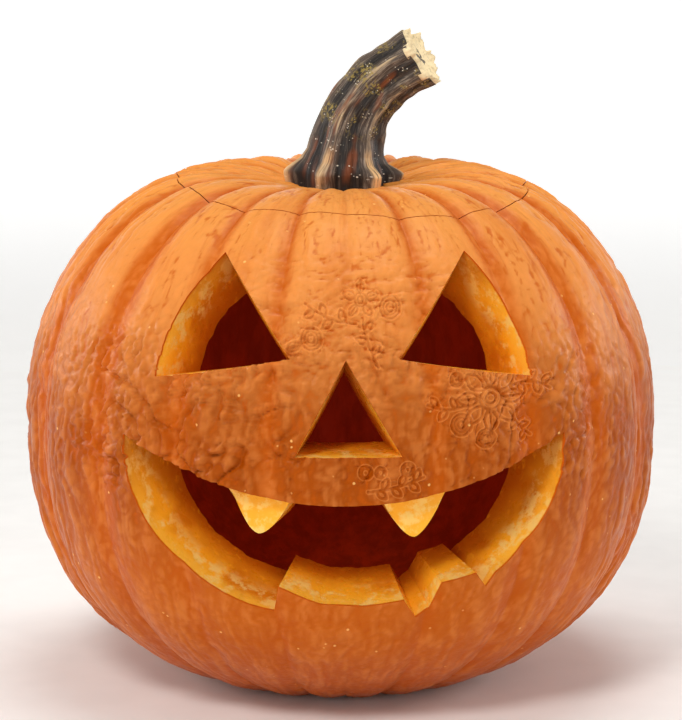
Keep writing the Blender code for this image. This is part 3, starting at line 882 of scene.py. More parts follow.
def skin_relief(points):
    """Height of the leathery skin, in wrinkle depths, and how raised each place is."""
    azimuth, level = directions(points)
    turn = np.degrees(np.abs(azimuth))
    rise = np.degrees(level)
    ring = np.stack([np.cos(azimuth), np.sin(azimuth)], axis=1) * BODY_RADIUS
    along = (level * BODY_RADIUS)[:, None]
    flow = np.hstack([ring, along])
    drift = np.stack([layered_noise(flow / DRIFT_SPREAD, 201 + k, 2) for k in range(3)], axis=1)
    ring = ring + DRIFT_ROUND * drift[:, :2]
    along = along + DRIFT_ALONG * drift[:, 2:]
    patchy = 0.5 + 0.5 * np.clip(1.6 * layered_noise(flow / 0.034, 211, 2), -1.0, 1.0)

    side = smooth_step(turn, 50, 74)
    brow = smooth_step(turn, 33, 20) * smooth_step(rise, 8, 17) * smooth_step(rise, 42, 30)
    cheek = (1.0 - side) * smooth_step(rise, -10, 0) * smooth_step(rise, 24, 17)
    left = smooth_step(np.degrees(-azimuth), 6, 16)
    under = smooth_step(rise, 6, -8) * (1.0 - 0.6 * side)

    leather = pebbles(flow / 0.0050, 11)
    fine = pebbles(flow / 0.0027, 21)
    creases = pebbles(np.hstack([ring / 0.0120, along / 0.0046]), 31)
    ripples = pebbles(np.hstack([ring / 0.0052, along / 0.0025]), 36)
    ridges = pebbles(np.hstack([ring / 0.0062, along / 0.050]), 41)
    folds = pebbles(np.hstack([ring / 0.0038, along / 0.018]), 46)
    lumps = layered_noise(flow / 0.017, 51, 2)

    height = 1.2 * lumps * (0.55 + 0.6 * brow + 0.6 * cheek)
    height += (0.3 + cheek * (0.9 + 0.9 * left)) * (leather - 0.4)
    height += (0.16 + 0.8 * cheek + 0.6 * brow) * (fine - 0.4) * (0.4 + patchy)
    height += brow * (2.7 * (creases - 0.4) * (0.5 + patchy) + 1.3 * (ripples - 0.4))
    height += (0.3 + 2.6 * side + 0.3 * under) * (ridges - 0.4)
    height += (0.10 + 0.75 * side + 0.5 * cheek * (1 - patchy)) * (folds - 0.4)
    raised = 0.30 * leather + 0.12 * fine + np.where(
        brow > 0.3, 0.40 * creases + 0.18 * ripples, 0.33 * ridges + 0.25 * folds)
    return height, raised + 0.16 * lumps


FOLD_DEPTH = 0.0017
FOLD_SPREAD = 0.021                 # about how far apart the folds lie
FOLD_SHARPNESS = 0.075              # half a fold's width, in the noise's own measure
FOLD_SIDE = (0.45, 2.4, 1.5)        # the swollen sides: height as a share, place and width
FOLD_KINDS = ((221, FOLD_SPREAD, 1.0), (222, 0.55 * FOLD_SPREAD, 0.5))   # seed, spread, share


def fold_relief(points):
    """Height of the folds in the cheeks' skin: wandering valleys with swollen sides."""
    azimuth, level = directions(points)
    turn, rise = np.degrees(azimuth), np.degrees(level)
    flow = np.stack([np.cos(azimuth), np.sin(azimuth), 1.3 * level], axis=1) * BODY_RADIUS
    cheeks = smooth_step(np.abs(turn), 58, 44) * smooth_step(rise, -9, -1) * smooth_step(rise, 26, 16)
    cheeks = cheeks * (0.45 + 0.55 * smooth_step(-turn, 2, 14))
    total = np.zeros(len(points))
    side, place, width = FOLD_SIDE
    for seed, spread, share in FOLD_KINDS:
        gap = np.abs(layered_noise(flow / spread, seed, 2)) / FOLD_SHARPNESS
        total += share * (side * np.exp(-((gap - place) / width) ** 2) - np.exp(-gap ** 2))
    return FOLD_DEPTH * cheeks * total


WARTS = ((-92.0, 0.1325, 0.0026, 0.0013), (91.0, 0.1420, 0.0024, 0.0011),
         (93.0, 0.1180, 0.0030, 0.0009), (-58.0, 0.1010, 0.0020, 0.0008),
         (74.0, 0.0890, 0.0022, 0.0009), (-140.0, 0.1300, 0.0026, 0.0010),
         (150.0, 0.0950, 0.0028, 0.0011))         # azimuth, z, width, height


def wart_height(points):
    total = np.zeros(len(points))
    azimuth, _ = directions(points)
    radius = np.hypot(points[:, 0], points[:, 1])
    for degrees, z, width, height in WARTS:
        turn = np.mod(azimuth - math.radians(degrees) + np.pi, 2.0 * np.pi) - np.pi
        gap = np.hypot(turn * radius, points[:, 2] - z)
        total += height * np.exp(-(gap / width) ** 2)
    return total


MOUTH_SHADE_Z = 0.078               # where the shade on the mouth's flesh begins
NOSE_MARGIN = 0.002
MOUTH_MARGIN = 0.012


def opening_height(points):
    """How high in its own opening a point of the cut flesh lies, 0 low to 1 at the top."""
    x, _, z = points.T
    eye = (z - EYE_INNER[1]) / (EYE_APEX[1] - EYE_INNER[1])
    nose = (z - NOSE_BASE_Z) / NOSE_HEIGHT
    mouth = (z - MOUTH_SHADE_Z) / (MOUTH_CORNER_Z - MOUTH_SHADE_Z)
    on_nose = (np.abs(x - FACE_X) < NOSE_HALF_WIDTH + NOSE_MARGIN) & (z > UPPER_LIP_MIDDLE_Z)
    share = np.where(z > MOUTH_CORNER_Z + MOUTH_MARGIN, eye, mouth)
    return np.clip(np.where(on_nose, nose, share), 0.0, 1.0)


LINE_HALF_WIDTH = 0.00034           # of a scratched line, and of the lip beside it
LINE_LIP_PLACE = 0.00085
LINE_LIP_HEIGHT = 0.45              # as a share of the line's depth
RELIEF_FADE = 0.003                 # how deep in a cut the skin's relief dies away


def shape_skin(mesh, settings):
    """Raises the skin's relief on a cut fruit, and notes what its materials need.

    Returns the skin's own smooth normals, one for each vertex.
    """
    count = len(mesh.vertices)
    points = np.empty(count * 3)
    mesh.vertices.foreach_get("co", points)
    points = points.reshape(-1, 3)
    azimuth, level = directions(points)
    depth = np.maximum(skin_depth(points, settings.rib_depth), 0.0)
    skin_faces = face_values(mesh, "material_index") == 0
    on_skin = np.zeros(count, bool)
    on_skin[face_corners(mesh, skin_faces)] = True
    depth[on_skin] = 0.0

    height, raised = skin_relief(points)
    distance = drawing_distance(points)
    line = np.exp(-(distance / LINE_HALF_WIDTH) ** 2)
    lip = np.exp(-((distance - LINE_LIP_PLACE) / LINE_HALF_WIDTH) ** 2)
    fade = np.exp(-(depth / RELIEF_FADE) ** 2)
    lift = settings.wrinkle_depth * height + fold_relief(points) + wart_height(points)
    lift += settings.drawing_depth * (LINE_LIP_HEIGHT * lip - line)
    moved = points + outward(points) * (lift * fade)[:, None]
    floor_low = points[:, 2] < 1e-5
    moved[floor_low, 2] = 0.0
    moved[:, 2] = np.maximum(moved[:, 2], 0.0)
    mesh.vertices.foreach_set("co", moved.ravel())
    mesh.update()

    grain = np.stack([np.cos(azimuth) * BODY_RADIUS, np.sin(azimuth) * BODY_RADIUS,
                      level * BODY_RADIUS], axis=1)
    # The raised share steers the rind's painted highlight on bumps and painted shade in creases.
    note(mesh, "raised", raised)
    note(mesh, "line", line)
    note(mesh, "lip", lip)
    # The valley share steers the rind's painted shade in the valleys.
    note(mesh, "valley", valley_depth(azimuth))
    note(mesh, "depth", depth)
    # The opening's height share steers the flesh's painted shade high in each opening.
    note(mesh, "top_shade", opening_height(points))
    note(mesh, "grain", grain)
    return skin_normals(mesh, skin_faces)


# ---------------------------------------------------------------- mesh bookkeeping

def face_values(mesh, name):
    values = np.empty(len(mesh.polygons), np.int32)
    mesh.polygons.foreach_get(name, values)
    return values


def corner_vertices(mesh):
    values = np.empty(len(mesh.loops), np.int32)
    mesh.loops.foreach_get("vertex_index", values)
    return values


def face_corners(mesh, chosen):
    """The vertex of every corner of the chosen faces."""
    totals = face_values(mesh, "loop_total")
    return corner_vertices(mesh)[np.repeat(chosen, totals)]


def note(mesh, name, values):
    """Stores a number or a vector for each vertex, under a name."""
    kind, slot_name = ("FLOAT", "value") if values.ndim == 1 else ("FLOAT_VECTOR", "vector")
    attribute = mesh.attributes.new(name, kind, "POINT")
    attribute.data.foreach_set(slot_name, values.astype(np.float32).ravel())


def skin_normals(mesh, chosen):
    """Normals weighted by face area, over the chosen faces alone."""
    count = len(mesh.vertices)
    points = np.empty(count * 3)
    mesh.vertices.foreach_get("co", points)
    points = points.reshape(-1, 3)
    corners = corner_vertices(mesh)
    starts = face_values(mesh, "loop_start")
    totals = face_values(mesh, "loop_total")
    after = np.arange(1, len(corners) + 1)
    after[starts + totals - 1] = starts
    place = points[corners] - np.repeat(points[corners[starts]], totals, axis=0)
    weighted = np.add.reduceat(np.cross(place, place[after]), starts, axis=0)
    spread = np.repeat(weighted * chosen[:, None], totals, axis=0)
    result = np.stack([np.bincount(corners, spread[:, k], count) for k in range(3)], axis=1)
    return result / np.maximum(np.linalg.norm(result, axis=1, keepdims=True), 1e-20)


def piece_from(source, name, chosen, material, normals=None):
    """A new object of the chosen faces of a mesh, with their notes."""
    totals = face_values(source, "loop_total")
    corners = face_corners(source, chosen)
    kept, corners = np.unique(corners, return_inverse=True)
    points = np.empty(len(source.vertices) * 3)
    source.vertices.foreach_get("co", points)
    totals = totals[chosen]
    mesh = bpy.data.meshes.new(name)
    mesh.vertices.add(len(kept))
    mesh.loops.add(len(corners))
    mesh.polygons.add(len(totals))
    mesh.vertices.foreach_set("co", points.reshape(-1, 3)[kept].ravel())
    mesh.loops.foreach_set("vertex_index", corners.astype(np.int32))
    starts = np.concatenate([[0], np.cumsum(totals)[:-1]]).astype(np.int32)
    mesh.polygons.foreach_set("loop_start", starts)
    mesh.update(calc_edges=True)
    mesh.shade_smooth()
    for attribute in source.attributes:
        if attribute.domain != "POINT" or attribute.name == "position":
            continue
        if attribute.data_type not in ("FLOAT", "FLOAT_VECTOR"):
            continue
        size = 1 if attribute.data_type == "FLOAT" else 3
        values = np.empty(len(source.vertices) * size, np.float32)
        attribute.data.foreach_get("value" if size == 1 else "vector", values)
        values = values.reshape(len(source.vertices), size)[kept]
        note(mesh, attribute.name, values[:, 0] if size == 1 else values)
    if normals is None:
        mesh.set_sharp_from_angle(angle=SHARP_ANGLE)
    else:
        mesh.normals_split_custom_set_from_vertices(normals[kept].tolist())
    mesh.materials.append(material)
    return link_mesh(name, mesh)


def finish_piece(piece, node):
    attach(piece, BODY)
    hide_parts(node)


# ---------------------------------------------------------------- materials

class Recipe:
    """A material's nodes, added and joined in one call each."""

    def __init__(self, name):
        self.material = bpy.data.materials.new(name)
        self.material.use_nodes = True
        self.tree = self.material.node_tree
        self.shader = self.tree.nodes["Principled BSDF"]

    def add(self, kind, settings=None, **inputs):
        node = self.tree.nodes.new("ShaderNode" + kind)
        for key, value in (settings or {}).items():
            setattr(node, key, value)
        for key, value in inputs.items():
            self.feed(node, key.replace("_", " ").strip(), value)
        return node

    def feed(self, node, key, value):
        socket = node.inputs[int(key)] if key.isdigit() else node.inputs[key]
        if isinstance(value, bpy.types.NodeSocket):
            self.tree.links.new(value, socket)
        else:
            socket.default_value = value

    def attribute(self, name, output="Fac"):
        return self.add("Attribute", {"attribute_name": name}).outputs[output]

    def place(self):
        return self.add("TexCoord").outputs["Object"]

    def scaled(self, vector, scale):
        node = self.add("VectorMath", {"operation": "MULTIPLY"})
        self.feed(node, "0", vector)
        self.feed(node, "1", scale)
        return node.outputs[0]

    def noise(self, vector, scale, detail=3.0, roughness=0.55, distortion=0.0):
        return self.add("TexNoise", Vector=vector, Scale=scale, Detail=detail,
                        Roughness=roughness, Distortion=distortion).outputs["Fac"]

    def remap(self, value, low, high, new_low=0.0, new_high=1.0):
        node = self.add("MapRange", {"interpolation_type": "SMOOTHSTEP"})
        for key, number in zip(("Value", "From Min", "From Max", "To Min", "To Max"),
                               (value, low, high, new_low, new_high)):
            self.feed(node, key, number)
        return node.outputs["Result"]

    def math(self, operation, first, second=0.0):
        node = self.add("Math", {"operation": operation})
        self.feed(node, "0", first)
        self.feed(node, "1", second)
        return node.outputs[0]

    def mix(self, share, first, second, blend="MIX"):
        node = self.add("Mix", {"data_type": "RGBA", "blend_type": blend})
        node.inputs[0].default_value = 0.5
        for index, value in ((0, share), (6, first), (7, second)):
            if isinstance(value, tuple) and len(value) == 3:
                value = (*value, 1.0)
            if isinstance(value, bpy.types.NodeSocket):
                self.tree.links.new(value, node.inputs[index])
            else:
                node.inputs[index].default_value = value
        return node.outputs[2]

    def bump(self, height, distance, strength=1.0, normal=None):
        node = self.add("Bump", Height=height, Distance=distance, Strength=strength)
        if normal is not None:
            self.feed(node, "Normal", normal)
        return node.outputs["Normal"]


def rind_material(settings):
    recipe = Recipe("waxy_rind")
    place = recipe.place()
    grain = recipe.attribute("grain", "Vector")
    height = recipe.add("SeparateXYZ", Vector=place).outputs["Z"]
    # Painted light and shade by height: lighter towards the crown where light from above falls, darkest
    # halfway, lighter at the chin as painted floor bounce.
    colour = recipe.mix(recipe.remap(height, 0.00, 0.05), tuple(settings.base), tuple(settings.chin))
    colour = recipe.mix(recipe.remap(height, 0.05, 0.11), colour, tuple(settings.middle))
    colour = recipe.mix(recipe.remap(height, 0.120, 0.198), colour, tuple(settings.brow))
    colour = recipe.mix(recipe.remap(height, 0.195, 0.225), colour, tuple(settings.crown))

    raised = recipe.attribute("raised")
    streaks = recipe.noise(recipe.scaled(grain, (1.0, 1.0, 0.14)), 230.0, 4.0, 0.6)
    colour = recipe.mix(recipe.remap(streaks, 0.50, 0.74, 0.0, 0.34), colour, tuple(settings.deep))
    broad = recipe.noise(recipe.scaled(grain, (1.0, 1.0, 0.3)), 46.0, 3.0)
    colour = recipe.mix(recipe.remap(broad, 0.50, 0.74, 0.0, 0.40), colour, tuple(settings.deep))
    # Painted shade: darker in the rib valleys.
    valley = recipe.remap(recipe.attribute("valley"), 0.16, 0.75, 0.0, 0.85)
    colour = recipe.mix(valley, colour, tuple(settings.deep))
    # Painted shade: darker in the creases between the raised bumps.
    colour = recipe.mix(recipe.remap(raised, 0.40, 0.05, 0.0, 0.8), colour, tuple(settings.deep))
    # Painted highlight: paler on raised skin.
    highlit = recipe.remap(raised, 0.30, 1.0, 0.0, 0.34)
    colour = recipe.mix(highlit, colour, tuple(settings.pale))
    specks = recipe.add("TexVoronoi", Vector=place, Scale=200.0).outputs["Distance"]
    chosen = recipe.noise(place, 95.0, 1.0)
    speck = recipe.math("MULTIPLY", recipe.remap(specks, 0.16, 0.07),
                        recipe.remap(chosen, 0.57, 0.66, 0.0, 0.8))
    colour = recipe.mix(speck, colour, display(250, 190, 110))
    # Painted shade in the scratched lines' grooves, and a painted highlight on the raised lip beside each
    # line.
    colour = recipe.mix(recipe.remap(recipe.attribute("line"), 0.2, 1.0, 0.0, 0.22), colour,
                        tuple(c * 0.6 for c in settings.deep))
    colour = recipe.mix(recipe.remap(recipe.attribute("lip"), 0.3, 1.0, 0.0, 0.35), colour,
                        tuple(settings.pale))
    recipe.feed(recipe.shader, "Base Color", colour)

    rough = recipe.remap(recipe.noise(place, 170.0, 3.0), 0.35, 0.7, 0.30, 0.44)
    recipe.feed(recipe.shader, "Roughness", rough)
    recipe.feed(recipe.shader, "Specular IOR Level", 0.18)
    recipe.feed(recipe.shader, "Specular Tint", (1.0, 0.62, 0.34, 1.0))
    recipe.feed(recipe.shader, "Subsurface Weight", 0.05)
    recipe.feed(recipe.shader, "Subsurface Scale", 0.004)
    recipe.feed(recipe.shader, "Subsurface Radius", (1.0, 0.35, 0.1))
    pores = recipe.noise(place, 900.0, 3.0, 0.6)
    skin = recipe.bump(pores, 0.0002, 0.5)
    dents = recipe.add("TexVoronoi", Vector=place, Scale=430.0).outputs["Distance"]
    skin = recipe.bump(dents, 0.00018, 0.4, skin)
    skin = recipe.bump(speck, 0.0003, 0.6, skin)
    recipe.feed(recipe.shader, "Normal", skin)
    return recipe.material


def flesh_material(settings):
    recipe = Recipe("cut_flesh")
    place = recipe.place()
    depth = recipe.attribute("depth")
    wobble = recipe.math("MULTIPLY", recipe.math("SUBTRACT", recipe.noise(place, 60.0), 0.5), 0.014)
    level = recipe.math("ADD", depth, wobble)
    top_shade = recipe.attribute("top_shade")
    # Darker towards the hollow: partly the flesh's own layers, partly painted shade deeper in the cut.
    colour = recipe.mix(recipe.remap(level, 0.008, 0.032), tuple(settings.outer), tuple(settings.inner))
    blush = recipe.noise(place, 42.0, 3.0)
    colour = recipe.mix(recipe.remap(blush, 0.46, 0.66, 0.0, 0.7), colour, tuple(settings.inner))
    # Painted shade high in each opening.
    colour = recipe.mix(recipe.remap(top_shade, 0.3, 1.0, 0.0, 0.8), colour, tuple(settings.top_shade))
    # Painted highlight along the cut flesh just under the rind, fading high in each opening.
    edge_glint = recipe.math("MULTIPLY", recipe.remap(depth, 0.010, 0.003, 0.0, 0.5),
                         recipe.remap(top_shade, 0.0, 0.8, 1.0, 0.35))
    colour = recipe.mix(edge_glint, colour, tuple(settings.edge))
    clouds = recipe.noise(place, 120.0, 6.0, 0.68)
    cloud = recipe.math("MULTIPLY", recipe.remap(clouds, 0.48, 0.60, 0.0, 0.8),
                        recipe.remap(level, 0.020, 0.010))
    # The pale patches fade high in each opening, as part of the painted shade there.
    cloud = recipe.math("MULTIPLY", cloud, recipe.remap(top_shade, 0.2, 1.0, 1.0, 0.35))
    colour = recipe.mix(cloud, colour, tuple(settings.cloud))
    seams = recipe.noise(recipe.scaled(place, (1.0, 1.0, 0.5)), 260.0, 3.0, 0.6)
    colour = recipe.mix(recipe.remap(seams, 0.58, 0.72, 0.0, 0.45), colour, tuple(settings.outer))
    colour = recipe.mix(recipe.remap(depth, 0.0014, 0.0005), colour, tuple(settings.rim))
    recipe.feed(recipe.shader, "Base Color", colour)
    rough = recipe.remap(recipe.noise(place, 220.0, 3.0), 0.35, 0.7, 0.25, 0.45)
    recipe.feed(recipe.shader, "Roughness", rough)
    recipe.feed(recipe.shader, "Specular IOR Level", 0.3)
    recipe.feed(recipe.shader, "Specular Tint", (1.0, 0.75, 0.4, 1.0))
    recipe.feed(recipe.shader, "Subsurface Weight", 0.18)
    recipe.feed(recipe.shader, "Subsurface Scale", 0.008)
    recipe.feed(recipe.shader, "Subsurface Radius", (1.0, 0.45, 0.12))
    fibres = recipe.noise(place, 420.0, 4.0, 0.6)
    skin = recipe.bump(fibres, 0.00035, 0.5)
    skin = recipe.bump(recipe.noise(place, 110.0, 3.0), 0.0008, 0.4, skin)
    recipe.feed(recipe.shader, "Normal", skin)
    return recipe.material


def lining_material(settings):
    recipe = Recipe("scooped_lining")
    place = recipe.place()
    strands = recipe.noise(recipe.scaled(place, (1.0, 1.0, 0.3)), 130.0, 5.0, 0.6)
    share = recipe.remap(strands, 0.35, 0.68)
    # The dark red-brown base is partly painted shade of the dim hollow; the darker strands are the fibres'
    # own tone.
    dark = tuple(c * 0.5 for c in settings.lining)
    recipe.feed(recipe.shader, "Base Color", recipe.mix(share, dark, tuple(settings.lining)))
    # Painted light: the lining glows by emission, though no lamp is inside.
    faint_painted_glow = tuple(c * 0.82 for c in settings.painted_glow)
    recipe.feed(recipe.shader, "Emission Color", recipe.mix(share, faint_painted_glow, tuple(settings.painted_glow)))
    recipe.feed(recipe.shader, "Emission Strength", 1.0)
    recipe.feed(recipe.shader, "Roughness", recipe.remap(strands, 0.3, 0.7, 0.7, 0.5))
    recipe.feed(recipe.shader, "Specular IOR Level", 0.1)
    recipe.feed(recipe.shader, "Normal", recipe.bump(strands, 0.0012, 0.6))
    return recipe.material


def stalk_material(settings):
    recipe = Recipe("dry_stalk")
    place = recipe.attribute("straight", "Vector")
    ridge = recipe.attribute("ridge")
    along = recipe.attribute("along")
    fibres = recipe.noise(recipe.scaled(place, (1.0, 1.0, 0.06)), 1700.0, 4.0, 0.65)
    bands = recipe.noise(recipe.scaled(place, (1.0, 1.0, 0.10)), 520.0, 3.0, 0.6)
    colour = recipe.mix(recipe.remap(ridge, 0.05, 0.6), tuple(settings.groove), tuple(settings.bark))
    grey = recipe.math("MULTIPLY", recipe.remap(fibres, 0.46, 0.66), recipe.remap(ridge, 0.1, 0.8, 0.15, 1.0))
    colour = recipe.mix(grey, colour, tuple(settings.ridge))
    black = recipe.math("MULTIPLY", recipe.remap(bands, 0.52, 0.40), recipe.remap(ridge, 0.9, 0.3, 0.2, 0.9))
    colour = recipe.mix(black, colour, tuple(settings.groove))
    warm = recipe.noise(recipe.scaled(place, (1.0, 1.0, 0.22)), 150.0, 2.0)
    colour = recipe.mix(recipe.remap(warm, 0.56, 0.70, 0.0, 0.6), colour, tuple(settings.amber))
    crest = recipe.math("MULTIPLY", recipe.remap(ridge, 0.94, 1.12),
                        recipe.remap(bands, 0.38, 0.56, 0.15, 0.75))
    colour = recipe.mix(crest, colour, tuple(settings.crest))
    flecks = recipe.noise(recipe.scaled(place, (1.0, 1.0, 0.6)), 900.0, 2.0, 0.6)
    green = recipe.math("MULTIPLY", recipe.remap(recipe.noise(place, 80.0, 2.0), 0.50, 0.58),
                        recipe.remap(flecks, 0.48, 0.60, 0.0, 0.85))
    green = recipe.math("MULTIPLY", green, recipe.remap(along, 0.30, 0.45))
    colour = recipe.mix(green, colour, tuple(settings.olive))
    specks = recipe.add("TexVoronoi", Vector=place, Scale=620.0).outputs["Distance"]
    chosen = recipe.noise(place, 160.0, 2.0)
    speck = recipe.math("MULTIPLY", recipe.remap(specks, 0.24, 0.12), recipe.remap(chosen, 0.50, 0.60))
    colour = recipe.mix(speck, colour, tuple(settings.speck))
    wedge = recipe.math("MULTIPLY", recipe.attribute("wedge"), recipe.remap(fibres, 0.36, 0.52, 0.15, 1.0))
    colour = recipe.mix(wedge, colour, tuple(settings.cream))
    recipe.feed(recipe.shader, "Base Color", colour)
    recipe.feed(recipe.shader, "Roughness", recipe.remap(fibres, 0.3, 0.7, 0.6, 0.42))
    recipe.feed(recipe.shader, "Specular IOR Level", 0.35)
    recipe.feed(recipe.shader, "Normal", recipe.bump(fibres, 0.0006, 0.7))
    return recipe.material


def pith_material(settings):
    recipe = Recipe("broken_pith")
    place = recipe.place()
    fibres = recipe.noise(place, 700.0, 5.0, 0.7)
    tan = tuple(c * 0.62 for c in settings.pith)
    colour = recipe.mix(recipe.remap(fibres, 0.30, 0.50), tan, tuple(settings.pith))
    recipe.feed(recipe.shader, "Base Color", colour)
    recipe.feed(recipe.shader, "Roughness", recipe.remap(fibres, 0.3, 0.7, 0.9, 0.7))
    recipe.feed(recipe.shader, "Specular IOR Level", 0.2)
    recipe.feed(recipe.shader, "Normal", recipe.bump(fibres, 0.0008, 0.8))
    return recipe.material


# ---------------------------------------------------------------- the stalk's form

def route_points(shares):
    """Points on the smooth curve through the route, for each share of it."""
    p = np.array(STEM_ROUTE)
    p = np.vstack([2 * p[0] - p[1], p, 2 * p[-1] - p[-2]])
    place = np.clip(shares, 0.0, 1.0) * (len(STEM_ROUTE) - 1)
    i = np.minimum(place.astype(int), len(STEM_ROUTE) - 2)
    t = (place - i)[:, None]
    a, b, c, d = p[i], p[i + 1], p[i + 2], p[i + 3]
    return 0.5 * (2 * b + (c - a) * t + (2 * a - 5 * b + 4 * c - d) * t ** 2
                  + (3 * b - a - 3 * c + d) * t ** 3)


def stalk_frame(shares):
    """Centre, along, across and deep directions at each share of the route."""
    centre = route_points(shares)
    run = route_points(shares + STEM_TANGENT_STEP) - route_points(shares - STEM_TANGENT_STEP)
    along = run / np.linalg.norm(run, axis=1, keepdims=True)
    across = np.cross((0.0, 1.0, 0.0), along)
    across /= np.linalg.norm(across, axis=1, keepdims=True)
    return centre, along, across, np.cross(along, across)


STEM_LENGTH = 0.1                   # for the bark's pattern, laid out straight
STEM_SHAFT_RADIUS = 0.0135
STEM_MINOR_RIDGE = 0.0012
STEM_THREAD = 0.00060
STEM_SWELL = 0.0007
STEM_MINOR_TURN = 0.6               # how far the minor ridges lie off the others, in radians


def stalk_piece(settings, material):
    """The ridged stalk, its foot flared into claws."""
    shares = np.linspace(0.0, 1.0, STEM_RINGS)
    centre, _, across, deep = stalk_frame(shares)
    sections = np.array(STEM_SECTIONS)
    ridge, groove, narrow = (np.interp(shares, sections[:, 0], sections[:, k])[:, None]
                             for k in (1, 2, 3))
    turn = np.linspace(0.0, 2.0 * np.pi, STEM_STEPS, endpoint=False)[None, :]
    wave = 0.5 + 0.5 * np.cos(STEM_RIDGES * (turn - STEM_RIDGE_TURN))
    minor = 0.5 + 0.5 * np.cos(2 * STEM_RIDGES * (turn - STEM_RIDGE_TURN) + STEM_MINOR_TURN)
    high = wave ** narrow
    around = np.stack([np.cos(turn) + 0 * shares[:, None], np.sin(turn) + 0 * shares[:, None],
                       0 * turn + shares[:, None]], axis=-1).reshape(-1, 3)
    straight_place = around * (STEM_SHAFT_RADIUS, STEM_SHAFT_RADIUS, STEM_LENGTH)
    threads = layered_noise(straight_place / (0.0014, 0.0014, 0.022), 101, 2).reshape(high.shape)
    swells = layered_noise(straight_place / (0.012, 0.012, 0.016), 111, 2).reshape(high.shape)
    radius = groove + (ridge - groove) * high
    radius = (radius + STEM_MINOR_RIDGE * minor * (1 - high) + STEM_THREAD * threads
              + STEM_SWELL * swells)
    radius = radius * settings.thickness
    loops = centre[:, None, :] + radius[..., None] * (
        across[:, None, :] * np.sin(turn)[..., None] - deep[:, None, :] * np.cos(turn)[..., None])
    solid = stacked_solid("stalk", loops, route_points(np.zeros(1))[0], route_points(np.ones(1))[0])
    mesh = solid.data
    poles = 2
    note(mesh, "straight", np.vstack([straight_place, np.zeros((poles, 3))]))
    note(mesh, "ridge", np.append(high.ravel() + 0.25 * threads.ravel(), [0.5] * poles))
    along_values = np.repeat(shares, STEM_STEPS)
    note(mesh, "along", np.append(along_values, [0.0, 1.0]))
    foot = smooth_step(along_values, 0.30, 0.16)
    wedge = np.clip(foot * smooth_step(high.ravel(), 0.75, 0.97) * (0.5 + 0.9 * swells.ravel()), 0, 1)
    note(mesh, "wedge", np.append(wedge, [0.0] * poles))
    mesh.shade_smooth()
    mesh.materials.append(material)
    return solid


END_STAND = 0.0011                  # how far the broken end stands off the stalk
END_TORN_RIM = 0.0016               # how much higher its torn rim stands
END_ROUGHNESS = 0.0005
END_SINK = 0.0012                   # how much lower its middle lies
END_SKIRT_DROP = 0.0018
END_SKIRT_WIDTH = 1.015             # as a share of the stalk's own
END_FOOT_DROP = 0.001


def stalk_end_piece(settings, material):
    """The broken cream end, a torn disc that stands just proud of the stalk's top."""
    centre, along, across, deep = (v[0] for v in stalk_frame(np.ones(1)))
    turn = np.linspace(0.0, 2.0 * np.pi, STEM_STEPS, endpoint=False)
    wave = 0.5 + 0.5 * np.cos(STEM_RIDGES * (turn - STEM_RIDGE_TURN))
    ridge, groove = STEM_SECTIONS[-1][1:3]
    rim = (groove + (ridge - groove) * wave) * settings.thickness
    heading = across * np.sin(turn)[:, None] - deep * np.cos(turn)[:, None]
    tears = layered_noise(heading * 4.5, 121, 3)
    loops = []
    for i in range(STEM_END_RINGS + 1):
        share = 1.0 - i / (STEM_END_RINGS + 1)
        ring = heading * (rim * share * (1.02 + 0.05 * tears * share))[:, None]
        rough = layered_noise((centre + ring) / 0.0022, 131, 3)
        lift = (END_TORN_RIM * share ** 3 * (0.6 + tears) + END_ROUGHNESS * rough
                - END_SINK * (1 - share ** 2))
        loops.append(centre + ring + along * (END_STAND + lift)[:, None])
    skirt = centre + heading * (rim * END_SKIRT_WIDTH)[:, None] - along * END_SKIRT_DROP
    loops = np.array([skirt, *loops])
    solid = stacked_solid("stalk_end", loops, centre - along * END_FOOT_DROP, loops[-1].mean(axis=0))
    solid.data.shade_smooth()
    solid.data.materials.append(material)
    return solid


# ---------------------------------------------------------------- operators

RIND_SEAMS = (-68.0, -29.0, 34.0, 68.0, 180.0)


def rind_pieces(mesh, normals, material):
    """The shell's skin in pieces that meet in valleys, and on the rib behind."""
    centres = np.empty(len(mesh.polygons) * 3)
    mesh.polygons.foreach_get("center", centres)
    azimuth, _ = directions(centres.reshape(-1, 3))
    degrees = np.mod(np.degrees(azimuth) - RIND_SEAMS[0], 360.0)
    edges = [seam - RIND_SEAMS[0] for seam in RIND_SEAMS] + [360.0]
    names = ("rind_left_cheek", "rind_middle", "rind_right_cheek", "rind_back_right",
             "rind_back_left")
    skin = face_values(mesh, "material_index") == 0
    return [piece_from(mesh, name, skin & (degrees >= low) & (degrees < high), material, normals)
            for name, low, high in zip(names, edges, edges[1:])]


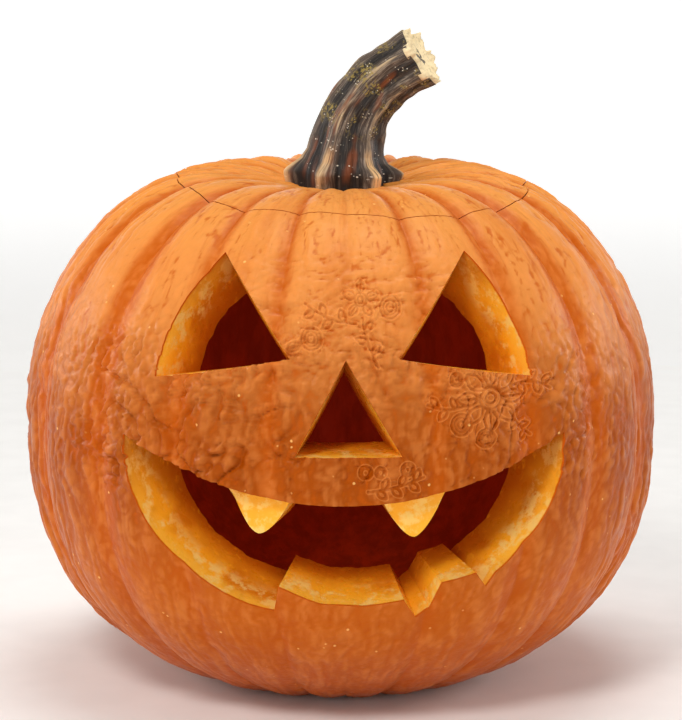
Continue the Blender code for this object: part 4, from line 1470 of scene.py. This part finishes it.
class LANTERN_OT_fruit(bpy.types.Operator):
    """Make the carved shell and the lid: skin, cut flesh and scooped lining"""
    bl_idname = "lantern.make_fruit"
    bl_label = "Shell and Lid"

    def execute(self, context):
        rind_settings, flesh_settings = context.scene.lantern_rind, context.scene.lantern_flesh
        rind = rind_material(rind_settings)
        flesh = flesh_material(flesh_settings)
        lining = lining_material(flesh_settings)

        hollow = mark(hollow_solid(flesh_settings.wall), lining)
        tools = [mark(lid_knife_solid("lid_hole", LID_GAP / 2), flesh), hollow]
        for side, name in ((-1, "left_eye"), (1, "right_eye")):
            aim = (FACE_X + side * EYE_AIM[0], EYE_AIM[1], EYE_AIM[2])
            tools.append(mark(knife_solid(name, eye_outline(side), aim, EYE_CUT_INNER_Y), flesh))
        tools.append(mark(knife_solid("nose", nose_outline(), NOSE_AIM, CUT_INNER_Y), flesh))
        with_fangs, lip_only, falls = mouth_outlines()
        tools.append(mark(knife_solid("mouth", with_fangs, MOUTH_AIM, CUT_INNER_Y, lip_only,
                                      FANG_RECESS, falls), flesh))
        lid_shape = mark(lid_knife_solid("lid_shape", -LID_GAP / 2), flesh)

        fruit = mark(fruit_solid(rind_settings.rib_depth), rind)
        lid = link_mesh("lid_blank", fruit.data.copy())
        refine_drawings(fruit)
        for tool in tools:
            cut(fruit, tool)
        cut(lid, lid_shape, "INTERSECT")
        cut(lid, hollow)

        for blank, node in ((fruit, "shell"), (lid, "lid")):
            mesh = blank.data
            names = [material.name for material in mesh.materials]
            normals = shape_skin(mesh, rind_settings)
            kind = face_values(mesh, "material_index")
            if node == "shell":
                skins = rind_pieces(mesh, normals, rind)
            else:
                skins = [piece_from(mesh, "lid_rind", kind == names.index(rind.name), rind, normals)]
            for piece in skins:
                finish_piece(piece, node)
            for label, material in (("flesh", flesh), ("lining", lining)):
                chosen = kind == names.index(material.name)
                piece = piece_from(mesh, f"{node}_{label}", chosen, material)
                finish_piece(piece, node)
        for spare in (fruit, lid, lid_shape, *tools):
            remove_object(spare)
        return {"FINISHED"}


class LANTERN_OT_stalk(bpy.types.Operator):
    """Make the ridged stalk and its broken end"""
    bl_idname = "lantern.make_stalk"
    bl_label = "Stalk"

    def execute(self, context):
        settings = context.scene.lantern_stalk
        finish_piece(stalk_piece(settings, stalk_material(settings)), "stem")
        finish_piece(stalk_end_piece(settings, pith_material(settings)), "stem")
        return {"FINISHED"}


class LANTERN_OT_stage(bpy.types.Operator):
    """Make the floor, the lights and the camera"""
    bl_idname = "lantern.make_stage"
    bl_label = "Stage"

    def execute(self, context):
        settings = context.scene.lantern_stage
        make_floor(settings)
        make_lights(context.scene, settings)
        make_camera(context.scene)
        return {"FINISHED"}


def make_floor(settings):
    """A wide floor that curves up into a wall all round."""
    recipe = Recipe("paper_floor")
    grain = recipe.noise(recipe.place(), 30.0, 2.0)
    darker = tuple(c * 0.97 for c in settings.floor)
    recipe.feed(recipe.shader, "Base Color",
                recipe.mix(recipe.remap(grain, 0.3, 0.7), darker, tuple(settings.floor)))
    recipe.feed(recipe.shader, "Roughness", 0.9)
    recipe.feed(recipe.shader, "Specular IOR Level", 0.1)
    away = recipe.add("VectorMath", {"operation": "LENGTH"}, Vector=recipe.place()).outputs["Value"]
    recipe.feed(recipe.shader, "Emission Color", (1.0, 1.0, 1.0, 1.0))
    recipe.feed(recipe.shader, "Emission Strength", recipe.remap(away, 0.3, 2.4, 0.0, 0.60))
    bend = np.linspace(0.0, np.pi / 2, FLOOR_BEND_STEPS)
    profile = [(FLOOR_RADIUS + FLOOR_BEND * math.sin(a), FLOOR_BEND * (1 - math.cos(a))) for a in bend]
    turns = np.linspace(0.0, 2.0 * np.pi, FLOOR_STEPS, endpoint=False)
    mesh_data = bmesh.new()
    middle = mesh_data.verts.new((0.0, 0.0, 0.0))
    rings = [[mesh_data.verts.new((r * math.cos(t), r * math.sin(t), z)) for t in turns]
             for r, z in profile]
    for i in range(FLOOR_STEPS):
        j = (i + 1) % FLOOR_STEPS
        mesh_data.faces.new((middle, rings[0][i], rings[0][j]))
        for low, high in zip(rings, rings[1:]):
            mesh_data.faces.new((low[i], high[i], high[j], low[j]))
    mesh = bpy.data.meshes.new("floor")
    mesh_data.to_mesh(mesh)
    mesh_data.free()
    mesh.shade_smooth()
    mesh.materials.append(recipe.material)
    link_mesh("floor", mesh)


def add_light(name, place, target, size, power, colour):
    light = bpy.data.lights.new(name, "AREA")
    light.shape = "DISK"
    light.size = size
    light.energy = power
    light.color = colour
    lamp = bpy.data.objects.new(name, light)
    bpy.context.scene.collection.objects.link(lamp)
    lamp.location = place
    lamp.rotation_euler = (Vector(target) - Vector(place)).to_track_quat("-Z", "Y").to_euler()


def make_lights(scene, settings):
    target = (0.0, 0.0, EQUATOR_Z)
    add_light("key", (-0.45, -1.15, 1.20), target, 0.45, settings.key, (1.0, 0.98, 0.95))
    add_light("top", (0.10, 0.05, 1.60), target, 0.90, settings.top, (1.0, 0.99, 0.97))
    for side, name in ((-1, "left"), (1, "right")):
        add_light(name, (1.35 * side, 0.35, 0.55), target, 0.50, settings.rim, (1.0, 0.97, 0.95))
    world = bpy.data.worlds.new("soft_sky")
    world.use_nodes = True
    background = world.node_tree.nodes["Background"]
    background.inputs["Color"].default_value = (1.0, 1.0, 1.0, 1.0)
    background.inputs["Strength"].default_value = settings.sky
    scene.world = world
    scene.view_settings.view_transform = "Standard"


def make_camera(scene):
    camera = bpy.data.cameras.new("camera")
    camera.lens = CAMERA_LENS
    camera.sensor_width = CAMERA_SENSOR
    holder = bpy.data.objects.new("camera", camera)
    scene.collection.objects.link(holder)
    holder.location = (0.0, -CAMERA_DISTANCE * math.cos(CAMERA_RISE),
                       EQUATOR_Z + CAMERA_DISTANCE * math.sin(CAMERA_RISE))
    holder.rotation_euler = (math.pi / 2 - (CAMERA_RISE - CAMERA_TILT), 0.0, 0.0)
    scene.camera = holder


class LANTERN_PT_panel(bpy.types.Panel):
    """The lantern's settings and its makers"""
    bl_idname = "LANTERN_PT_panel"
    bl_label = "Carved Lantern"
    bl_space_type = "VIEW_3D"
    bl_region_type = "UI"
    bl_category = "Lantern"

    def draw(self, context):
        for name, group, operators in (
                ("Rind", context.scene.lantern_rind, ()),
                ("Flesh", context.scene.lantern_flesh, (LANTERN_OT_fruit,)),
                ("Stalk", context.scene.lantern_stalk, (LANTERN_OT_stalk,)),
                ("Stage", context.scene.lantern_stage, (LANTERN_OT_stage,))):
            box = self.layout.box()
            box.label(text=name)
            for field in group.bl_rna.properties:
                if not field.is_readonly and field.identifier != "name":
                    box.prop(group, field.identifier)
            for operator in operators:
                box.operator(operator.bl_idname)


SETTINGS = {"lantern_rind": RindSettings, "lantern_flesh": FleshSettings,
            "lantern_stalk": StalkSettings, "lantern_stage": StageSettings}
OPERATORS = (LANTERN_OT_fruit, LANTERN_OT_stalk, LANTERN_OT_stage)


def register():
    for kind in (*SETTINGS.values(), *OPERATORS, LANTERN_PT_panel):
        bpy.utils.register_class(kind)
    for name, kind in SETTINGS.items():
        setattr(bpy.types.Scene, name, PointerProperty(type=kind))


def unregister():
    for name in SETTINGS:
        delattr(bpy.types.Scene, name)
    for kind in reversed((*SETTINGS.values(), *OPERATORS, LANTERN_PT_panel)):
        bpy.utils.unregister_class(kind)


def main():
    register()
    bpy.ops.lantern.make_fruit()
    bpy.ops.lantern.make_stalk()
    bpy.ops.lantern.make_stage()


if __name__ == "__main__":
    main()
